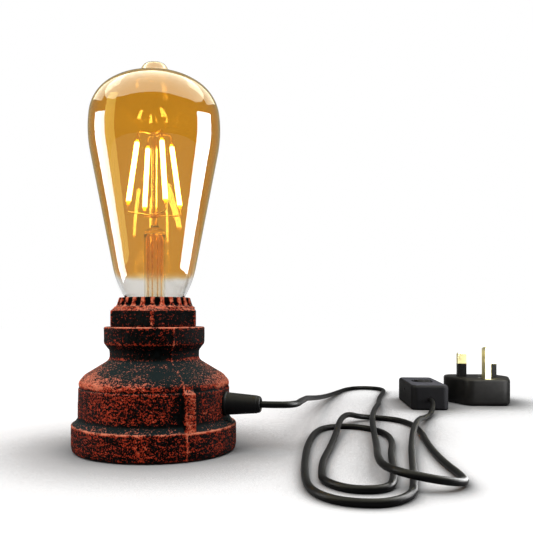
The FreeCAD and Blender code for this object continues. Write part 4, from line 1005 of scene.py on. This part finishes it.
def sky():
    """World that is white to the camera, dimmer in reflections, dimmest at the front, and faint as light."""
    s = Shader("world", world=True)
    ray = s.add("LightPath").outputs
    way = s.add("SeparateXYZ", {"Vector": s.add("TexCoord").outputs["Generated"]})
    behind = s.add("MapRange", {"Value": way.outputs[1], "From Min": -0.4, "From Max": 0.5, "To Min": 0.1,
                                "To Max": 0.22})
    seen = s.times(ray["Is Glossy Ray"], behind)
    for white in (ray["Is Camera Ray"], ray["Is Transmission Ray"], s.times(ray["Is Diffuse Ray"], 0.2)):
        seen = s.math("MAXIMUM", seen, white)
    s.put(s.out.inputs["Surface"], s.add("Background", {"Color": (1, 1, 1, 1), "Strength": seen}))
    return s.owner


def studio():
    screen("left_strip", 101, 0.22, 0.115, (0.108, 0.222), 15.0)
    screen("left_screen", 79, 0.40, 0.235, (0.15, 0.46), 4.5, (1.0, 0.82, 0.2))
    screen("right_strip", -82, 0.30, 0.132, (0.0905, 0.256), 24.0)
    screen("right_strip_edge", -100, 0.30, 0.132, (0.0905, 0.256), 24.0)
    for name, side in (("left_wing", -0.37), ("right_wing", 0.37)):
        softbox(name, (side, 0.26, 0.57), (0, 0, 0.165), (0.42, 0.36), 3.4, CREAM)
    softbox("ceiling_screen", (0.0, -0.17, 0.80), (0.0, -0.17, 0.0), (2.6, 1.25), 4.6, CREAM, "ELLIPSE")
    softbox("ceiling", (0.0, -0.35, 0.81), (0.0, -0.35, 0.0), (1.7, 0.95), 1.8, shape="ELLIPSE",
            mirrored=False)
    softbox("key", (-0.55, -0.60, 0.75), (0, 0, 0.03), (0.3, 0.3), 9.0, mirrored=False)
    bpy.context.scene.world = sky()
    bpy.context.scene.view_settings.view_transform = "Standard"


def table():
    half = 3000.0
    corners = [(-half, -half, 0), (half, -half, 0), (half, half, 0), (-half, half, 0)]
    thing = new_object("table", corners, [(0, 1, 2, 3)])
    thing.data.materials.append(white_floor())


# ---------------------------------------------------------------- flex
def flex(name, route, node):
    """Round flex along its centreline, as a curve."""
    curve = bpy.data.curves.new(name, "CURVE")
    curve.dimensions = "3D"
    curve.bevel_depth = CORD_D / 2 * MM
    curve.bevel_resolution = 5
    curve.resolution_u = 10
    curve.use_fill_caps = True
    spline = curve.splines.new("NURBS")
    spline.points.add(len(route) - 1)
    for point, place in zip(spline.points, route):
        point.co = (*(c * MM for c in place), 1.0)
    spline.order_u = 3
    spline.use_endpoint_u = True
    thing = bpy.data.objects.new(name, curve)
    bpy.context.scene.collection.objects.link(thing)
    return dress(thing, "lamp", node, "black_flex")


# ---------------------------------------------------------------- assembly
SLOT_MATERIALS = {
    "antique_casting": antique_casting(),
    "amber_glass": amber_glass(),
    "clear_glass": clear_glass(),
    "filament": filament_light(),
    "black_flex": plastic("flex_pvc", rgb(9, 9, 10), rgb(15, 15, 16), 0.4, 2600, 0.00001),
    "black_nylon": plastic("black_nylon", rgb(13, 13, 14), rgb(21, 21, 22), 0.5, 1500, 0.00003),
    # faces of the slate plastic that don't face up are painted near-black as shade
    "slate_plastic": plastic("slate_plastic", rgb(52, 53, 62), rgb(62, 62, 72), 0.6, 1800, 0.00002,
                             sides=rgb(13, 13, 17)),
    "black_plastic": plastic("black_plastic", rgb(20, 20, 20), rgb(36, 35, 34), 0.4, 1700, 0.00002),
    "brass": metal("brass", rgb(218, 208, 156), rgb(188, 174, 120), 0.34, 0.4),
    "zinc_steel": metal("zinc_steel", rgb(196, 196, 198), rgb(140, 140, 144), 0.34),
    "nickel_cap": metal("nickel_cap", rgb(208, 204, 196), rgb(160, 154, 144), 0.24),
    "lead_wire": metal("lead_wire", rgb(232, 200, 138), rgb(130, 92, 48), 0.3),
    "solder": metal("solder", rgb(170, 170, 172), rgb(120, 120, 122), 0.5),
    "glazed_ceramic": ceramic("glazed_ceramic", rgb(232, 229, 222), rgb(218, 214, 206), 0.25),
    "vitrite": ceramic("vitrite", rgb(10, 10, 14), rgb(20, 20, 26), 0.15),
    "fuse_ceramic": ceramic("fuse_ceramic", rgb(222, 219, 210), rgb(200, 196, 186), 0.6, 0.0),
    "brown_core": plastic("brown_core", rgb(92, 52, 30), rgb(108, 62, 36), 0.45, 2000, 0.00001),
    "blue_core": plastic("blue_core", rgb(44, 84, 156), rgb(56, 98, 172), 0.45, 2000, 0.00001),
    "clamp_fibre": plastic("clamp_fibre", rgb(96, 58, 36), rgb(118, 74, 46), 0.8, 900, 0.00005),
    "circuit_board": circuit_board(),
    "foot_pad": foam_pad(),
}


def dress_nodes():
    """Every node that stays gets the material of its slot."""
    slots = {part["node"]: part["material_slot"] for part in frame["record"]["subparts"]}
    for name, thing in NODES.items():
        for place in thing.material_slots:
            place.material = SLOT_MATERIALS[slots[name]]
        thing.data.set_sharp_from_angle(angle=radians(32))


camera()
studio()
table()
dress_nodes()
dress(base_casting(), "lamp", "base_casting", "antique_casting")
dress(hex_collar(), "lamp", "hex_collar", "antique_casting")
dress(fluted_crown(), "lamp", "fluted_crown", "antique_casting")
dress(bulb_glass(), "bulb", "bulb_glass", "amber_glass")
dress(bulb_stem(), "bulb", "bulb_stem", "clear_glass")
dress(bulb_rod(), "bulb", "bulb_centre_rod", "clear_glass")
dress(filaments(), "bulb", "filaments", "filament")
upper_spokes, lower_spokes = spokes()
dress(upper_spokes, "bulb", "filament_top_supports", "lead_wire")
dress(lower_spokes, "bulb", "filament_bottom_supports", "lead_wire")
dress(lead_wires(), "bulb", "bulb_lead_wires", "lead_wire")
grip = dress(cord_grip(), "lamp", "cord_grip", "black_nylon")
paddle = dress(rocker(), "rocker", "switch_rocker", "slate_plastic")
dress(bulb_cap(), "bulb", "bulb_cap_shell", "nickel_cap")
back = dress(placed(plug_cover(), PLUG_CENTRE, PLUG_YAW), "lamp", "plug_cover", "black_plastic")
face = dress(placed(plug_face(), PLUG_CENTRE, PLUG_YAW), "lamp", "plug_base", "black_plastic")
first_flex = flex("flex_lamp_to_switch", LAMP_TO_SWITCH, "cord_lamp_to_switch")
second_flex = flex("flex_switch_to_plug", SWITCH_TO_PLUG, "cord_switch_to_plug")

plug_pieces = [NODES[n] for n in NODES if n.startswith("plug_") and n not in ("plug_cover", "plug_base")]
plug_pieces += [NODES[n] for n in ("earth_pin", "live_pin", "neutral_pin", "pin_sleeves")] + [back, face]
